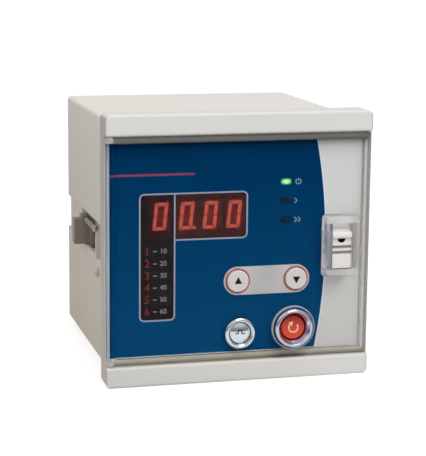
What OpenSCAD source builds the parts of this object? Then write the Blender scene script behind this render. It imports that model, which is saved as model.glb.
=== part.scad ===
// Panel-mounted protection relay with a square bezel, a clear hinged cover and two side clamps.
// Frame: the origin is the centre of the panel seating plane, behind the bezel flange.
// +X is to the right seen from the front, +Y runs to the rear and +Z is up. Millimetres.

/* [Bezel] */
// Width and height of the square bezel
bezel_size = 96; // [94:0.5:110]
// Thickness of the bezel flange
flange_t = 6; // [5.5:0.5:9]
// How far the top and bottom rails stand in front of the flange
rail_d = 4; // [3.8:0.1:6]
// Height of each rail
rail_h = 7.5; // [6:0.5:9]
// Corner radius of the bezel outline
bezel_r = 2; // [0.5:0.25:4]
// Rounding of the front edges of the rails
rail_edge_r = 1; // [0.3:0.1:1.5]

/* [Case] */
// How far the bezel reaches past the case on each side
panel_overlap = 3; // [2.5:0.1:5]
// Depth of the case behind the panel
body_d = 86.4; // [80:0.2:110]
// Wall thickness of the case
wall = 2.5; // [2:0.1:3]
// Thickness of the rear wall
rear_wall = 3; // [2:0.5:5]
// Corner radius of the case
body_r = 1.5; // [0.5:0.25:2]
// Depth of the shallow guide groove in each side
groove_d = 1; // [0.5:0.1:1.4]
// Height of the groove's mouth
groove_h = 12.65; // [11:0.05:16]
// Height of the groove's centre above the middle of the case
groove_z = -0.92; // [-5:0.01:5]

/* [Front panel] */
// How far the printed film lies behind the flange's front face
film_recess = 0.45; // [0.2:0.05:0.8]
// Thickness of the printed film
film_t = 0.25; // [0.15:0.05:0.5]
// Thickness of the panel plate
panel_t = 2; // [1.5:0.1:3]
// Width of the flange face on which the cover's walls close
cover_land = 2.3; // [1.8:0.1:3]

/* [Display] */
// Distance from the bezel's left edge to the line between the window's column and block
divider_inset = 25.5; // [22:0.1:30]
// Pitch of the digits in the block
digit_pitch = 8.6; // [8:0.1:9.4]
// Distance from the panel's upper edge to the top of the window
window_drop = 18.1; // [10:0.1:22]
// Height of a digit
digit_h = 9.8; // [7:0.1:11]
// Width of a digit
digit_w = 4.6; // [3.5:0.1:5.5]
// Height of the window's block
block_h = 16.4; // [14:0.1:20]
// Width of the window's column
column_w = 12.8; // [11:0.1:15]
// Height of the window's column
column_h = 45; // [30:0.5:50]
// Distance from the divider to the first digit's centre
first_digit_inset = 5.1; // [4.8:0.1:6]

/* [Lamps and keys] */
// X of the lamps
led_x = 17.5; // [10:0.1:24]
// Distance from the panel's upper edge to the middle lamp
led_drop = 21.9; // [14:0.1:26]
// Vertical pitch of the lamps
led_pitch = 6.85; // [4:0.05:10]
// X of the up key
up_key_x = 0; // [-6:0.1:6]
// Distance between the two keys
key_pitch = 21.5; // [16:0.1:24]
// Height of the keys' centres above the panel's lower edge
key_rise = 25.7; // [24:0.1:29]
// Radius of a key
key_r = 4; // [3:0.1:4.6]
// Radius of the rounded ends of the key pad
pad_r = 5.1; // [4.9:0.1:7]

/* [Push buttons] */
// X of the test button
test_x = 0.9; // [-6:0.1:4]
// Height of the test button above the panel's lower edge
test_rise = 6.8; // [6.6:0.1:9]
// Radius of the test button's ring
test_ring_r = 5.85; // [5:0.05:6.5]
// Radius of the test button's cap
test_cap_r = 3.9; // [3:0.1:4.2]
// X of the reset button
reset_x = 20; // [16:0.1:24]
// Height of the reset button above the panel's lower edge
reset_rise = 8.4; // [8:0.1:10]
// Radius of the reset button's ring
reset_ring_r = 7.05; // [6.4:0.05:7.8]
// Height of the reset button's ring above the film
reset_ring_h = 5.9; // [5:0.1:7]
// Radius of the reset button's cap
reset_cap_r = 4.6; // [3.6:0.1:4.9]

/* [Cover] */
// Thickness of the cover's front plate
cover_t = 1.8; // [1.2:0.1:2]
// Gap between the cover and the bezel
cover_gap = 0.3; // [0.2:0.05:0.5]
// Rounding of the cover's free edges
cover_edge_r = 1.2; // [0.5:0.1:1.6]
// Distance from the bezel's right edge to the middle of the latch
latch_inset = 11.3; // [10:0.1:13]
// Height of the middle of the latch hood
latch_z = 0; // [-4:0.1:4]
// Width of the window in the latch hood
latch_window_w = 7.6; // [6:0.1:9]
// Height of the window in the latch hood
latch_window_h = 16.4; // [15:0.1:20]
// How far the latch hood stands in front of the cover
hood_d = 3; // [2:0.1:4]
// Upward travel of the latch
latch_travel = 1.6; // [1.2:0.1:2]

/* [Terminals] */
// Number of terminals in each strip
terminal_count = 7; // [5:1:8]
// Distance from the ends of a terminal strip to the sides of the case
strip_margin = 1.1; // [0.8:0.1:3]
// Height of the terminal screws above and below the middle
terminal_z = 22.5; // [20:0.5:25]
// Height of the barriers behind the case
barrier_d = 12; // [11:0.5:16]
// Thickness of a barrier
barrier_t = 2; // [1.5:0.1:2.5]

/* [Side clamps] */
// How far the clamp's lug stands out of the case side
lug_proud = 4.35; // [3.6:0.05:6]
// Thickness of the lug along the case
lug_t = 5; // [4:0.1:8]
// Distance from the panel seat to the lug's front face
lug_y = 46; // [42:0.5:50]
// Radius of the clamp screw
clamp_screw_r = 0.95; // [0.8:0.05:1.1]
// Distance from the panel seat to the screw's tip
clamp_tip_y = 25.2; // [24:0.1:30]

/* [Boards] */
// Thickness of the circuit boards
board_t = 1.6; // [1:0.1:2]

/* [Hidden] */
$fn = 48;

// Clearances and small common sizes
fit = 0.1;
run = 0.05;
slide = 0.2;
past = 1;

// Depths of the front, from the rails back to the display board
flange_front = -flange_t;
rail_front = flange_front - rail_d;
film_front = flange_front + film_recess;
panel_front = film_front + film_t;
panel_rear = panel_front + panel_t;
cover_rear = rail_front + cover_t;
window_t = 1.5;
glass_gap = 0.3;
digit_face = film_front + window_t + glass_gap;
digit_depth = 6;
board_front = digit_face + digit_depth;
board_rear = board_front + board_t;

// Outlines
bezel_half = bezel_size / 2;
body_size = bezel_size - 2 * panel_overlap;
body_half = body_size / 2;
inner_half = body_half - wall;
rail_z = bezel_half - rail_h;
pocket_w = bezel_half - cover_land;
pocket_h = rail_z - cover_gap - cover_land;
opening_side = 1.8;
opening_end = 5.8;
opening_w = inner_half - opening_side;
opening_h = inner_half - opening_end;

// Corner columns of the case and their screws
column_r = 4.2;
column_inset = 5.2;
column_at = body_half - column_inset;
spigot_r = 2.7;
spigot_d = 4;
head_seat = 14;
case_screw_r = 1.45;
case_screw_head_r = 2.8;
case_screw_head_t = 2;
case_screw_slack = 0.25;
head_slack = 0.4;
pilot_end = 0.4;
pilot_skin = 0.3;
case_screw_reach = -panel_rear - pilot_end - pilot_skin;

// Bezel tabs that enter the mouth of the case
tab_w = 50;
tab_d = 4;
tab_t = 1.8;

// Display board and what carries it
key_z = key_rise - pocket_h;
board_side = 0.6;
board_top_gap = 2.2;
board_below_keys = 10.3;
display_board_w = opening_w - board_side;
display_board_top = opening_h - board_top_gap;
display_board_bottom = key_z - board_below_keys;
standoff_inset = 2.6;
standoff_r = 2.1;
standoff_zs = [display_board_bottom + standoff_inset, display_board_top - standoff_inset];
board_screw_r = 1;
board_screw_head_r = 2;
board_screw_head_t = 1.4;
board_screw_reach = 4;

// Digits
segment_t = 1.25;
segment_depth = 0.2;
segment_gap = 0.12;
digit_slant = 5;
module_h = 12.6;
module_r = 0.5;
module_gap = 0.2;
point_r = 0.6;
point_out = 0.5;
block_digits = 3;
divider_x = divider_inset - bezel_half;
digit_z = pocket_h - window_drop - block_h / 2;
first_digit_x = divider_x - first_digit_inset;
digit_xs = [first_digit_x, for (i = [0:block_digits - 1]) divider_x + digit_pitch * (i + 0.5)];
block_w = block_digits * digit_pitch;
window_r = 1.6;

// Lamps, keys and push buttons
led_w = 4;
led_h = 2.2;
led_r = 1;
led_z = pocket_h - led_drop;
down_key_x = up_key_x + key_pitch;
key_clear = 0.3;
pad_t = 0.4;
key_proud = 1;
key_flange = 0.9;
key_flange_t = 0.8;
key_travel = 0.6;
key_edge = 0.6;
key_rear = panel_rear + slide + key_flange_t;
plunger_front = key_rear + key_travel + fit;
switch_w = 6;
plunger_r = 1.7;
plunger_t = 0.5;
test_z = test_rise - pocket_h;
reset_z = reset_rise - pocket_h;
test_ring_h = 2.2;
test_funnel = 0.8;
ring_rim = 0.6;
neck_wall = 0.75;
nut_t = 2.2;
nut_wall = 1.75;
neck_past_nut = 0.5;
switch_len = 11;
switch_floor = 2;
test_travel = 1;
reset_travel = 1.5;
reset_cap_sunk = 1.8;
test_cap_sunk = 0.1;
stem_r = 1.8;
stem_len = 3;
cap_edge = 0.5;

// Cover
hinge_r = (rail_d - cover_gap) / 2;
cover_inset = 0.05;
hinge_x = hinge_r + cover_inset - bezel_half;
hinge_y = rail_front + hinge_r;
pin_r = 1.2;
pin_len = 3;
cover_half_h = rail_z - cover_gap;
cover_right = bezel_half - cover_inset;
cover_skirt = flange_front - cover_gap;
reset_hole_clear = 0.55;
reset_hole_r = reset_ring_r + reset_hole_clear;
hood_wall = 2.2;
hood_slope = 0.9;
hood_r = 1.6;

// Latch
latch_x = bezel_half - latch_inset;
latch_w = latch_window_w - 2 * slide;
latch_free = 1.2;
latch_top = latch_z + latch_window_h / 2 - latch_travel - latch_free - slide;
latch_bottom = latch_z - latch_window_h / 2 + slide;
latch_sunk = 0.9;
latch_face = rail_front - hood_d + latch_sunk;
latch_belly = 0.3;
latch_flange = 0.8;
latch_flange_t = 0.8;
latch_ledge = 0.6;
ledge_top = 1;
ledge_bottom = 2;
ledge_root = 2.4;
grip_rise = 5;
grip_w = 1.3;
grip_d = 0.5;
grip_land = 0.7;
grip_chamfer = 0.3;
hook_w = 4;
hook_t = 2;
hook_foot = 1.2;
hook_foot_t = 0.9;
hook_bite = 0.9;
hook_drop = 2.2;
seal_hole_r = 1.5;
seal_gap = 0.2;

// Terminal strips
ear_w = 4.4;
ear_r = 1.5;
strip_w = body_size - 2 * (ear_w + strip_margin);
terminal_pitch = (strip_w - barrier_t) / terminal_count;
strip_base_t = 4;
strip_h = 18;
strip_inner_drop = 10.5;
strip_inner_z = terminal_z - strip_inner_drop;
strip_screw_r = 1.3;
strip_screw_head_r = 1.9;
strip_screw_head_t = 1.5;
strip_screw_len = 7;
plate_clear = 0.5;
plate_w = terminal_pitch - barrier_t - 2 * plate_clear;
plate_h = 9;
plate_t = 1;
tail_w = 3;
tail_reach = 7;
tail_end = body_d - rear_wall - tail_reach;
terminal_screw_r = 1.7;
terminal_head_r = 3.2;
terminal_head_t = 2.2;
terminal_screw_len = 4;
slot_w = 0.8;
slot_d = 0.8;
terminal_xs = [for (i = [0:terminal_count - 1]) (i - (terminal_count - 1) / 2) * terminal_pitch];

// Boards inside the case
board_face_z = terminal_z + plate_h / 2;
boards_side_gap = 1;
boards_rear_gap = 0.5;
boards_front_gap = 0.3;
board_half_w = inner_half - boards_side_gap;
boards_rear = body_d - rear_wall - boards_rear_gap;
boards_front = board_rear + board_screw_head_t + boards_front_gap;
rib_w = 3.7;
rib_t = 1.5;
rib_setback = 3;
rib_front = boards_front + rib_setback;
header_w = 20;
header_inset = 7;
header_left = header_inset - display_board_w;
header_d = 6;
header_top = 9;
notch_clear = 4;
notch_d = 15;
notch_left = test_x - neck_r(test_cap_r) - notch_clear;
notch_right = reset_x + neck_r(reset_cap_r) + notch_clear;
notch_rear = boards_front + notch_d;
transformer_x = -17;
transformer_inset = 43;
transformer_y = boards_rear - transformer_inset;
core_w = 32;
core_h = 26;
core_t = 14;
core_leg = 5;
core_middle = 9.2;
core_window_h = 16;
coil_wall = 5;
coil_r = 2;
ct_x = 19.5;
ct_inset = 38;
ct_r = 14;
ct_hole_r = 6;
ct_h = 11;
ct_edge_r = 1.5;
capacitor_side = 15.5;
capacitor_x = capacitor_side - board_half_w;
capacitor_pitch = 13;
capacitor_inset = 18;
capacitor_r = 5;
capacitor_h = 16;
capacitor_edge_r = 0.8;
capacitor_groove = 0.5;
capacitor_groove_z = 2;
relay_w = 12.5;
relay_l = 28;
relay_h = 15.5;
relay_x = 16;
relay_inset = 40;
relay_r = 1;
chip_w = 14;
chip_t = 1.6;
chip_x = 12;
chip_z = 12;
lead_count = 8;
lead_w = 0.5;
lead_len = 1;
lead_pitch = 1.4;

// Side clamps
groove_top = groove_z + groove_h / 2;
groove_bottom = groove_z - groove_h / 2;
clamp_stop = 22;
clamp_pocket_rear = 60;
clamp_pocket_d = 3;
clamp_lip = 1.1;
undercut = 1;
pocket_wall = 1.5;
clamp_base_t = clamp_pocket_d - clamp_lip - 2 * slide;
clamp_base_ends = 2.5;
lug_top_gap = 2.9;
lug_bottom_gap = 0.25;
lug_top = groove_top - lug_top_gap;
lug_bottom = groove_bottom + lug_bottom_gap;
clamp_screw_out = 0.1;
clamp_screw_drop = 0.1;
clamp_nut_wall = 0.5;
clamp_screw_x = body_half + clamp_screw_out;
clamp_screw_z = lug_top - clamp_screw_drop;
clamp_nut = clamp_screw_r + run + clamp_nut_wall;
clamp_tip_r = 1.2;
clamp_screw_behind = 4;
screw_slot_w = 0.5;
stop_rib_proud = 0.9;
stop_rib_t = 1.3;
stop_rib_foot = 0.5;
pip_r = 1.15;
pip_y = 20.5;
pip_drop = 5.65;
pip_z = groove_bottom - pip_drop;

// Colours
shell_grey = "#d8d6d0";
panel_grey = "#c9c8c8";
print_blue = "#003b67";
smoke = "#331f25";
board_green = "#2f6b45";
steel = "#b9bcc0";
dark_plastic = "#2b2b2e";

// Extrusion of an X-Z outline between two depths
module slab(y0, y1) {
    translate([0, y1, 0]) rotate([90, 0, 0]) linear_extrude(y1 - y0) children();
}

// Extrusion of a Y-Z outline between two X values
module along_x(x0, x1) {
    translate([x0, 0, 0]) rotate([90, 0, 90]) linear_extrude(x1 - x0) children();
}

// Revolved outline about the depth axis: radius to the right, height towards the viewer
module turned(x, y, z) {
    translate([x, y, z]) rotate([90, 0, 0]) rotate_extrude() children();
}

// Round bar along the depth axis
module rod(x, z, r, y0, y1) {
    translate([x, y1, z]) rotate([90, 0, 0]) cylinder(r = r, h = y1 - y0);
}

// Box between two corners
module block(low, high) {
    translate(low) cube(high - low);
}

// Rectangle about its centre with four round corners
module round_rect(w, h, r) {
    square([w - 2 * r, h], center = true);
    square([w, h - 2 * r], center = true);
    for (sx = [-1, 1], sz = [-1, 1]) {
        translate([sx * (w / 2 - r), sz * (h / 2 - r)]) circle(r);
    }
}

// Rectangle between two corners
module rect(low, high) {
    translate(low) square(high - low);
}

// Positions of the four case columns
module at_columns() {
    for (sx = [-1, 1], sz = [-1, 1]) translate([sx * column_at, 0, sz * column_at]) children();
}

// Groove and undercut pocket of one side clamp, on the right side
module clamp_groove() {
    block([body_half - groove_d, clamp_pocket_rear, groove_bottom],
        [body_half + past, body_d + past, groove_top]);
    block([body_half - clamp_pocket_d, -past, groove_bottom],
        [body_half + past, clamp_pocket_rear, groove_top]);
    block([body_half - clamp_pocket_d, clamp_stop, groove_bottom - undercut],
        [body_half - clamp_lip, clamp_pocket_rear, groove_top + undercut]);
}

// Inner wall round one clamp pocket, with the pip outside, on the right side
module clamp_guide() {
    block([body_half - clamp_pocket_d - pocket_wall, 0, groove_bottom - undercut - pocket_wall],
        [body_half - wall / 2, clamp_pocket_rear + pocket_wall, groove_top + undercut + pocket_wall]);
    translate([body_half, pip_y, pip_z]) sphere(pip_r);
}

// Rib across the lower part of one clamp pocket, which stops the clamp's foot, on the right side
module clamp_stop_rib() {
    block([body_half - clamp_pocket_d - pocket_wall / 2, clamp_stop - stop_rib_t,
            groove_bottom - stop_rib_foot],
        [body_half + stop_rib_proud, clamp_stop, clamp_screw_z - clamp_tip_r - cover_gap]);
}

// Two ribs that hold one edge of a board, on the right side, for a board under its face
module board_ribs() {
    for (low = [-board_face_z + fit, -board_face_z - board_t - fit - rib_t]) {
        block([inner_half - rib_w, rib_front, low],
            [inner_half + wall / 2, body_d - rear_wall / 2, low + rib_t]);
    }
}

// Slots through which the terminal tails reach the boards, for the upper strip
module tail_slots(y0, y1) {
    for (x = terminal_xs) {
        block([x - tail_w / 2 - fit, y0, board_face_z - plate_t - fit],
            [x + tail_w / 2 + fit, y1, board_face_z + fit]);
    }
}

// Case: moulded box, open to the front, with corner columns, board ribs and clamp guides
module case() {
    color(shell_grey) {
        difference() {
            union() {
                difference() {
                    slab(0, body_d) round_rect(body_size, body_size, body_r);
                    slab(-past, body_d - rear_wall) round_rect(2 * inner_half, 2 * inner_half, body_r / 2);
                }
                intersection() {
                    at_columns() rod(0, 0, column_r, 0, body_d - rear_wall / 2);
                    slab(0, body_d) square(2 * inner_half + wall, center = true);
                }
                for (side = [0, 1]) {
                    mirror([side, 0, 0]) clamp_guide();
                    for (up = [0, 1]) mirror([side, 0, 0]) mirror([0, 0, up]) board_ribs();
                }
            }
            at_columns() {
                rod(0, 0, case_screw_head_r + head_slack, head_seat, body_d + past);
                rod(0, 0, case_screw_r + case_screw_slack, -past, head_seat + past);
                rod(0, 0, spigot_r + fit, -past, spigot_d + fit);
            }
            for (side = [0, 1]) mirror([side, 0, 0]) clamp_groove();
            for (up = [0, 1]) mirror([0, 0, up]) tail_slots(body_d - rear_wall - past, body_d + past);
            at_strip_ears() rod(0, 0, strip_screw_r + run, body_d - rear_wall - past, body_d + past);
        }
        for (side = [0, 1]) mirror([side, 0, 0]) clamp_stop_rib();
    }
}

// Side view of a rail with two round front corners, for the upper rail
module rail_profile() {
    e = rail_edge_r;
    rect([rail_front + e, rail_z], [-flange_t / 2, bezel_half]);
    rect([rail_front, rail_z + e], [rail_front + 2 * e, bezel_half - e]);
    translate([rail_front + e, rail_z + e]) circle(e);
    translate([rail_front + e, bezel_half - e]) circle(e);
}

// Bezel: flange with two rails, a pocket for the panel, and two tabs and four spigots behind
module bezel() {
    color(shell_grey) difference() {
        union() {
            slab(flange_front, 0) round_rect(bezel_size, bezel_size, bezel_r);
            intersection() {
                slab(rail_front - past, 0) round_rect(bezel_size, bezel_size, bezel_r);
                union() for (up = [0, 1]) mirror([0, 0, up]) {
                    along_x(-bezel_half, bezel_half) rail_profile();
                }
            }
            for (up = [0, 1]) mirror([0, 0, up]) {
                block([-tab_w / 2, panel_rear, inner_half - fit - tab_t],
                    [tab_w / 2, tab_d, inner_half - fit]);
            }
            at_columns() rod(0, 0, spigot_r, panel_rear, spigot_d);
        }
        slab(flange_front - past, panel_rear) square([2 * pocket_w, 2 * pocket_h], center = true);
        slab(panel_rear - past, past) square([2 * opening_w, 2 * opening_h], center = true);
        rod(test_x, test_z, nut_r(test_cap_r) + slide, panel_rear - past, past);
        rod(reset_x, reset_z, nut_r(reset_cap_r) + slide, panel_rear - past, past);
        at_columns() rod(0, 0, case_screw_r + run, -case_screw_reach - pilot_end, spigot_d + past);
        for (up = [0, 1]) mirror([0, 0, up]) {
            translate([hinge_x, hinge_y, rail_z - past]) cylinder(r = pin_r + run, h = pin_len + past);
        }
    }
}

// Case screws: four screws, deep in the columns, that pull the bezel on to the case
module case_screws() {
    color(steel) at_columns() difference() {
        union() {
            rod(0, 0, case_screw_head_r, head_seat, head_seat + case_screw_head_t);
            rod(0, 0, case_screw_r, -case_screw_reach, head_seat + case_screw_head_t / 2);
        }
        block([-case_screw_head_r - past, head_seat + case_screw_head_t - slot_d, -slot_w / 2],
            [case_screw_head_r + past, head_seat + case_screw_head_t + past, slot_w / 2]);
    }
}

// Outline of the display window: a block beside a taller column, drawn in or out by a clearance
module window_outline(clear) {
    top = digit_z + block_h / 2;
    translate([divider_x - column_w / 2, top - column_h / 2])
        round_rect(column_w + 2 * clear, column_h + 2 * clear, window_r);
    translate([divider_x + block_w / 2, digit_z])
        round_rect(block_w + 2 * clear, block_h + 2 * clear, window_r);
    rect([divider_x - window_r, digit_z - block_h / 2 - clear], [divider_x + window_r, top + clear]);
}

// Holes that the panel plate and its film share
module panel_holes() {
    window_outline(fit);
    for (i = [-1, 0, 1]) {
        translate([led_x, led_z + i * led_pitch]) round_rect(led_w + 2 * fit, led_h + 2 * fit, led_r);
    }
    for (x = [up_key_x, down_key_x]) translate([x, key_z]) circle(key_r + key_clear);
    translate([test_x, test_z]) circle(neck_r(test_cap_r) + fit);
    translate([reset_x, reset_z]) circle(neck_r(reset_cap_r) + fit);
    hook_low = hook_bottom();
    rect([latch_x - hook_w / 2 - 2 * slide, hook_low + hook_bite],
        [latch_x + hook_w / 2 + 2 * slide, hook_low + hook_foot + hook_t + latch_travel + 2 * slide]);
}

// Front panel: moulded plate in the bezel's pocket
module front_panel() {
    color(panel_grey) slab(panel_front, panel_rear) difference() {
        square([2 * (pocket_w - fit), 2 * (pocket_h - fit)], center = true);
        panel_holes();
    }
}

// Panel film: printed film on the panel
module panel_film() {
    color(print_blue) slab(film_front, panel_front) difference() {
        square([2 * (pocket_w - fit), 2 * (pocket_h - fit)], center = true);
        panel_holes();
    }
}

// Display window: tinted plate, level with the film
module display_window() {
    color(smoke, 0.6) slab(film_front, film_front + window_t) window_outline(0);
}

// One of a digit's bars, from its middle and its length, lying or standing, in the digit's own plane
module bar_outline(at, len, standing) {
    half = len / 2 - segment_gap;
    tip = segment_t / 2;
    translate(at) rotate(standing ? 90 : 0)
        polygon([[-half, 0], [-half + tip, tip], [half - tip, tip],
            [half, 0], [half - tip, -tip], [-half + tip, -tip]]);
}

// Leaning plane of one digit, drawn with its centre at the digit's place
module leaning(x) {
    lean = tan(digit_slant);
    translate([x, 0, digit_z])
        multmatrix([[1, 0, lean, 0], [0, 1, 0, 0], [0, 0, 1, 0], [0, 0, 0, 1]])
        slab(digit_face - segment_depth, digit_face) children();
}

// Bars of the figure nought
module nought_outline() {
    w = digit_w - segment_t;
    h = digit_h - segment_t;
    for (s = [-1, 1]) {
        bar_outline([0, s * h / 2], w, false);
        for (side = [-1, 1]) bar_outline([side * w / 2, s * h / 4], h / 2, true);
    }
}

// Decimal point beside one digit
module point(x) {
    rod(x + digit_w / 2 + point_out, digit_z - digit_h / 2 + point_r, point_r,
        digit_face - segment_depth, digit_face);
}

// Lit segments: the bars and the decimal point that show
module lit_segments() {
    color("#c85546") {
        for (x = digit_xs) leaning(x) nought_outline();
        point(digit_xs[1]);
    }
}

// Dark segments: the middle bars and the points that are off
module dark_segments() {
    color("#4a2a2c") {
        for (x = digit_xs) leaning(x) bar_outline([0, 0], digit_w - segment_t, false);
        for (i = [2, 3]) point(digit_xs[i]);
    }
}

// Digit: moulded display module behind the window
module digit(i) {
    w = digit_pitch - module_gap;
    color(dark_plastic) slab(digit_face, board_front)
        translate([digit_xs[i], digit_z]) round_rect(w, module_h, module_r);
}

// Lamp: flat light guide from the board to the face of the film
module lamp(i) {
    slab(film_front - fit, board_front)
        translate([led_x, led_z + i * led_pitch]) round_rect(led_w, led_h, led_r);
}

// Key pad: raised pill round the two keys
module key_pad() {
    color("#b1afb0") slab(film_front - pad_t, film_front) difference() {
        union() {
            for (x = [up_key_x, down_key_x]) translate([x, key_z]) circle(pad_r);
            rect([up_key_x, key_z - pad_r], [down_key_x, key_z + pad_r]);
        }
        for (x = [up_key_x, down_key_x]) translate([x, key_z]) circle(key_r + key_clear);
    }
}

// Key: round cap with a soft edge and a flange behind the panel
module key(x) {
    top = pad_t + key_proud;
    color("#cfcac8") turned(x, film_front, key_z) {
        rect([0, film_front - key_rear], [key_r, top - key_edge]);
        rect([0, 0], [key_r - key_edge, top]);
        translate([key_r - key_edge, top - key_edge]) circle(key_edge);
        rect([0, film_front - key_rear], [key_r + key_flange, film_front - key_rear + key_flange_t]);
    }
}

// Key switches: two small switches on the display board
module key_switches() {
    color(dark_plastic) for (x = [up_key_x, down_key_x]) {
        block([x - switch_w / 2, plunger_front + plunger_t, key_z - switch_w / 2],
            [x + switch_w / 2, board_front, key_z + switch_w / 2]);
        rod(x, key_z, plunger_r, plunger_front, board_front - fit);
    }
}

// Radius of the threaded neck round a cap, and of its nut
function neck_r(cap_r) = cap_r + slide + neck_wall;
function nut_r(cap_r) = neck_r(cap_r) + nut_wall;
function neck_end() = panel_rear + nut_t + neck_past_nut;

// Ring of a push button: turned bush with a round rim, a funnel and a neck through the panel
module button_ring(x, z, ring_r, ring_h, cap_r, funnel) {
    bore = cap_r + slide;
    color("#d5d8dc") turned(x, film_front, z) difference() {
        union() {
            rect([0, film_front - neck_end()], [neck_r(cap_r), 0]);
            rect([0, 0], [ring_r, ring_h - ring_rim]);
            rect([0, 0], [ring_r - ring_rim, ring_h]);
            translate([ring_r - ring_rim, ring_h - ring_rim]) circle(ring_rim);
        }
        rect([0, film_front - neck_end() - past], [bore, ring_h + past]);
        polygon([[bore - fit, ring_h - funnel], [ring_r - ring_rim, ring_h + fit],
            [bore - fit, ring_h + fit]]);
    }
}

// Cap of a push button: slightly domed, with a stem into the switch
module button_cap(x, z, cap_r, front, travel) {
    rear = film_front - neck_end() + travel + 2 * slide;
    turned(x, film_front, z) {
        rect([0, rear], [cap_r, front - cap_edge]);
        rect([0, rear], [cap_r - cap_edge, front]);
        translate([cap_r - cap_edge, front - cap_edge]) circle(cap_edge);
        rect([0, rear - travel - stem_len], [stem_r, rear + cap_edge]);
    }
}

// Nut of a push button, behind the panel
module button_nut(x, z, cap_r) {
    color(steel) slab(panel_rear, panel_rear + nut_t) translate([x, z]) difference() {
        circle(nut_r(cap_r), $fn = 6);
        circle(neck_r(cap_r) + run);
    }
}

// Switch body of a push button, with a well for the stem
module button_switch(x, z, cap_r) {
    color(dark_plastic) difference() {
        rod(x, z, neck_r(cap_r), neck_end(), neck_end() + switch_len);
        rod(x, z, stem_r + slide, neck_end() - past, neck_end() + switch_len - switch_floor);
    }
}

module test_ring() {
    button_ring(test_x, test_z, test_ring_r, test_ring_h, test_cap_r, test_funnel);
}

module test_button() {
    color("#e3e3e2") button_cap(test_x, test_z, test_cap_r, test_ring_h - test_cap_sunk, test_travel);
}

module test_nut() {
    button_nut(test_x, test_z, test_cap_r);
}

module test_switch() {
    button_switch(test_x, test_z, test_cap_r);
}

module reset_ring() {
    button_ring(reset_x, reset_z, reset_ring_r, reset_ring_h, reset_cap_r, reset_cap_sunk);
}

module reset_button() {
    color("#e14b2d") button_cap(reset_x, reset_z, reset_cap_r, reset_ring_h - reset_cap_sunk, reset_travel);
}

module reset_nut() {
    button_nut(reset_x, reset_z, reset_cap_r);
}

module reset_switch() {
    button_switch(reset_x, reset_z, reset_cap_r);
}

// Plan of the cover: a round hinge edge on the left and a soft front corner on the right
module cover_plan() {
    e = cover_edge_r;
    translate([hinge_x, hinge_y]) circle(hinge_r);
    rect([hinge_x, rail_front], [cover_right - e, cover_skirt]);
    rect([hinge_x, rail_front + e], [cover_right, cover_skirt]);
    translate([cover_right - e, rail_front + e]) circle(e);
}

// Side view of the cover with soft front corners
module cover_side() {
    e = cover_edge_r / 2;
    rect([rail_front + e, -cover_half_h], [cover_skirt, cover_half_h]);
    rect([rail_front, -cover_half_h + e], [cover_skirt, cover_half_h - e]);
    for (s = [-1, 1]) translate([rail_front + e, s * (cover_half_h - e)]) circle(e);
}

// Slice of the latch hood at one depth
module hood_slice(grow, y) {
    w = latch_window_w + 2 * hood_wall + 2 * grow;
    h = latch_window_h + 2 * hood_wall + 2 * grow;
    for (sx = [-1, 1], sz = [-1, 1]) {
        rod(latch_x + sx * (w / 2 - hood_r), latch_z + sz * (h / 2 - hood_r), hood_r, y, y + fit, $fn = 32);
    }
}

// Cover: clear tray on two hinge pins, with a hole for the reset button and a hood round the latch
module cover() {
    color("#dfe6ea", 0.3) difference() {
        union() {
            intersection() {
                translate([0, 0, -cover_half_h]) linear_extrude(2 * cover_half_h) cover_plan();
                along_x(-bezel_size, bezel_size) cover_side();
            }
            for (up = [0, 1]) mirror([0, 0, up]) {
                translate([hinge_x, hinge_y, cover_half_h - past])
                    cylinder(r = pin_r, h = pin_len + cover_gap / 2 + past);
            }
            hull() {
                hood_slice(0, rail_front - hood_d);
                hood_slice(hood_slope, rail_front);
            }
        }
        block([hinge_x + hinge_r, cover_rear, -pocket_h], [pocket_w, cover_skirt + past, pocket_h]);
        rod(reset_x, reset_z, reset_hole_r, rail_front - past, cover_rear + past);
        block([latch_x - latch_window_w / 2, rail_front - hood_d - past, latch_z - latch_window_h / 2],
            [latch_x + latch_window_w / 2, cover_rear + past, latch_z + latch_window_h / 2]);
    }
}

// Lowest point of the latch's hook
function hook_bottom() = latch_z - hook_drop;

// Side view of one grip groove in the latch's face, from its lower edge
function grip_groove(z) = [[latch_face, z], [latch_face + grip_d, z + grip_chamfer],
    [latch_face + grip_d, z + grip_w - grip_chamfer], [latch_face, z + grip_w]];

// Latch: slide with a thumb ledge, a seal hole, a grip and a hook that catches behind the panel
module latch() {
    flange_y = cover_rear + slide;
    flange_rear = flange_y + latch_flange_t;
    foot_y = panel_rear + slide;
    low = hook_bottom();
    grip = latch_bottom + grip_rise;
    color("#e6e4e2") difference() {
        union() {
            along_x(latch_x - latch_w / 2, latch_x + latch_w / 2) polygon(concat(
                [[flange_rear, latch_bottom], [latch_face - latch_belly, latch_bottom]],
                grip_groove(grip),
                grip_groove(grip + grip_w + grip_land),
                [[latch_face + grip_d, latch_top - ledge_root],
                    [latch_face - latch_ledge, latch_top - ledge_bottom],
                    [latch_face - latch_ledge, latch_top - ledge_top],
                    [latch_face + grip_d, latch_top], [flange_rear, latch_top]]));
            block([latch_x - latch_window_w / 2 - latch_flange, flange_y, latch_bottom],
                [latch_x + latch_window_w / 2 + latch_flange, flange_rear, latch_top]);
            block([latch_x - hook_w / 2, flange_y, low + hook_foot],
                [latch_x + hook_w / 2, foot_y + hook_foot_t, low + hook_foot + hook_t]);
            block([latch_x - hook_w / 2, foot_y, low],
                [latch_x + hook_w / 2, foot_y + hook_foot_t, low + hook_foot + hook_t]);
        }
        slab(latch_face - past, flange_rear - latch_flange_t / 2)
            translate([latch_x, latch_top - ledge_root - seal_gap]) intersection() {
                circle(seal_hole_r);
                rect([-seal_hole_r, -seal_hole_r], [seal_hole_r, 0]);
            }
    }
}

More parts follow.
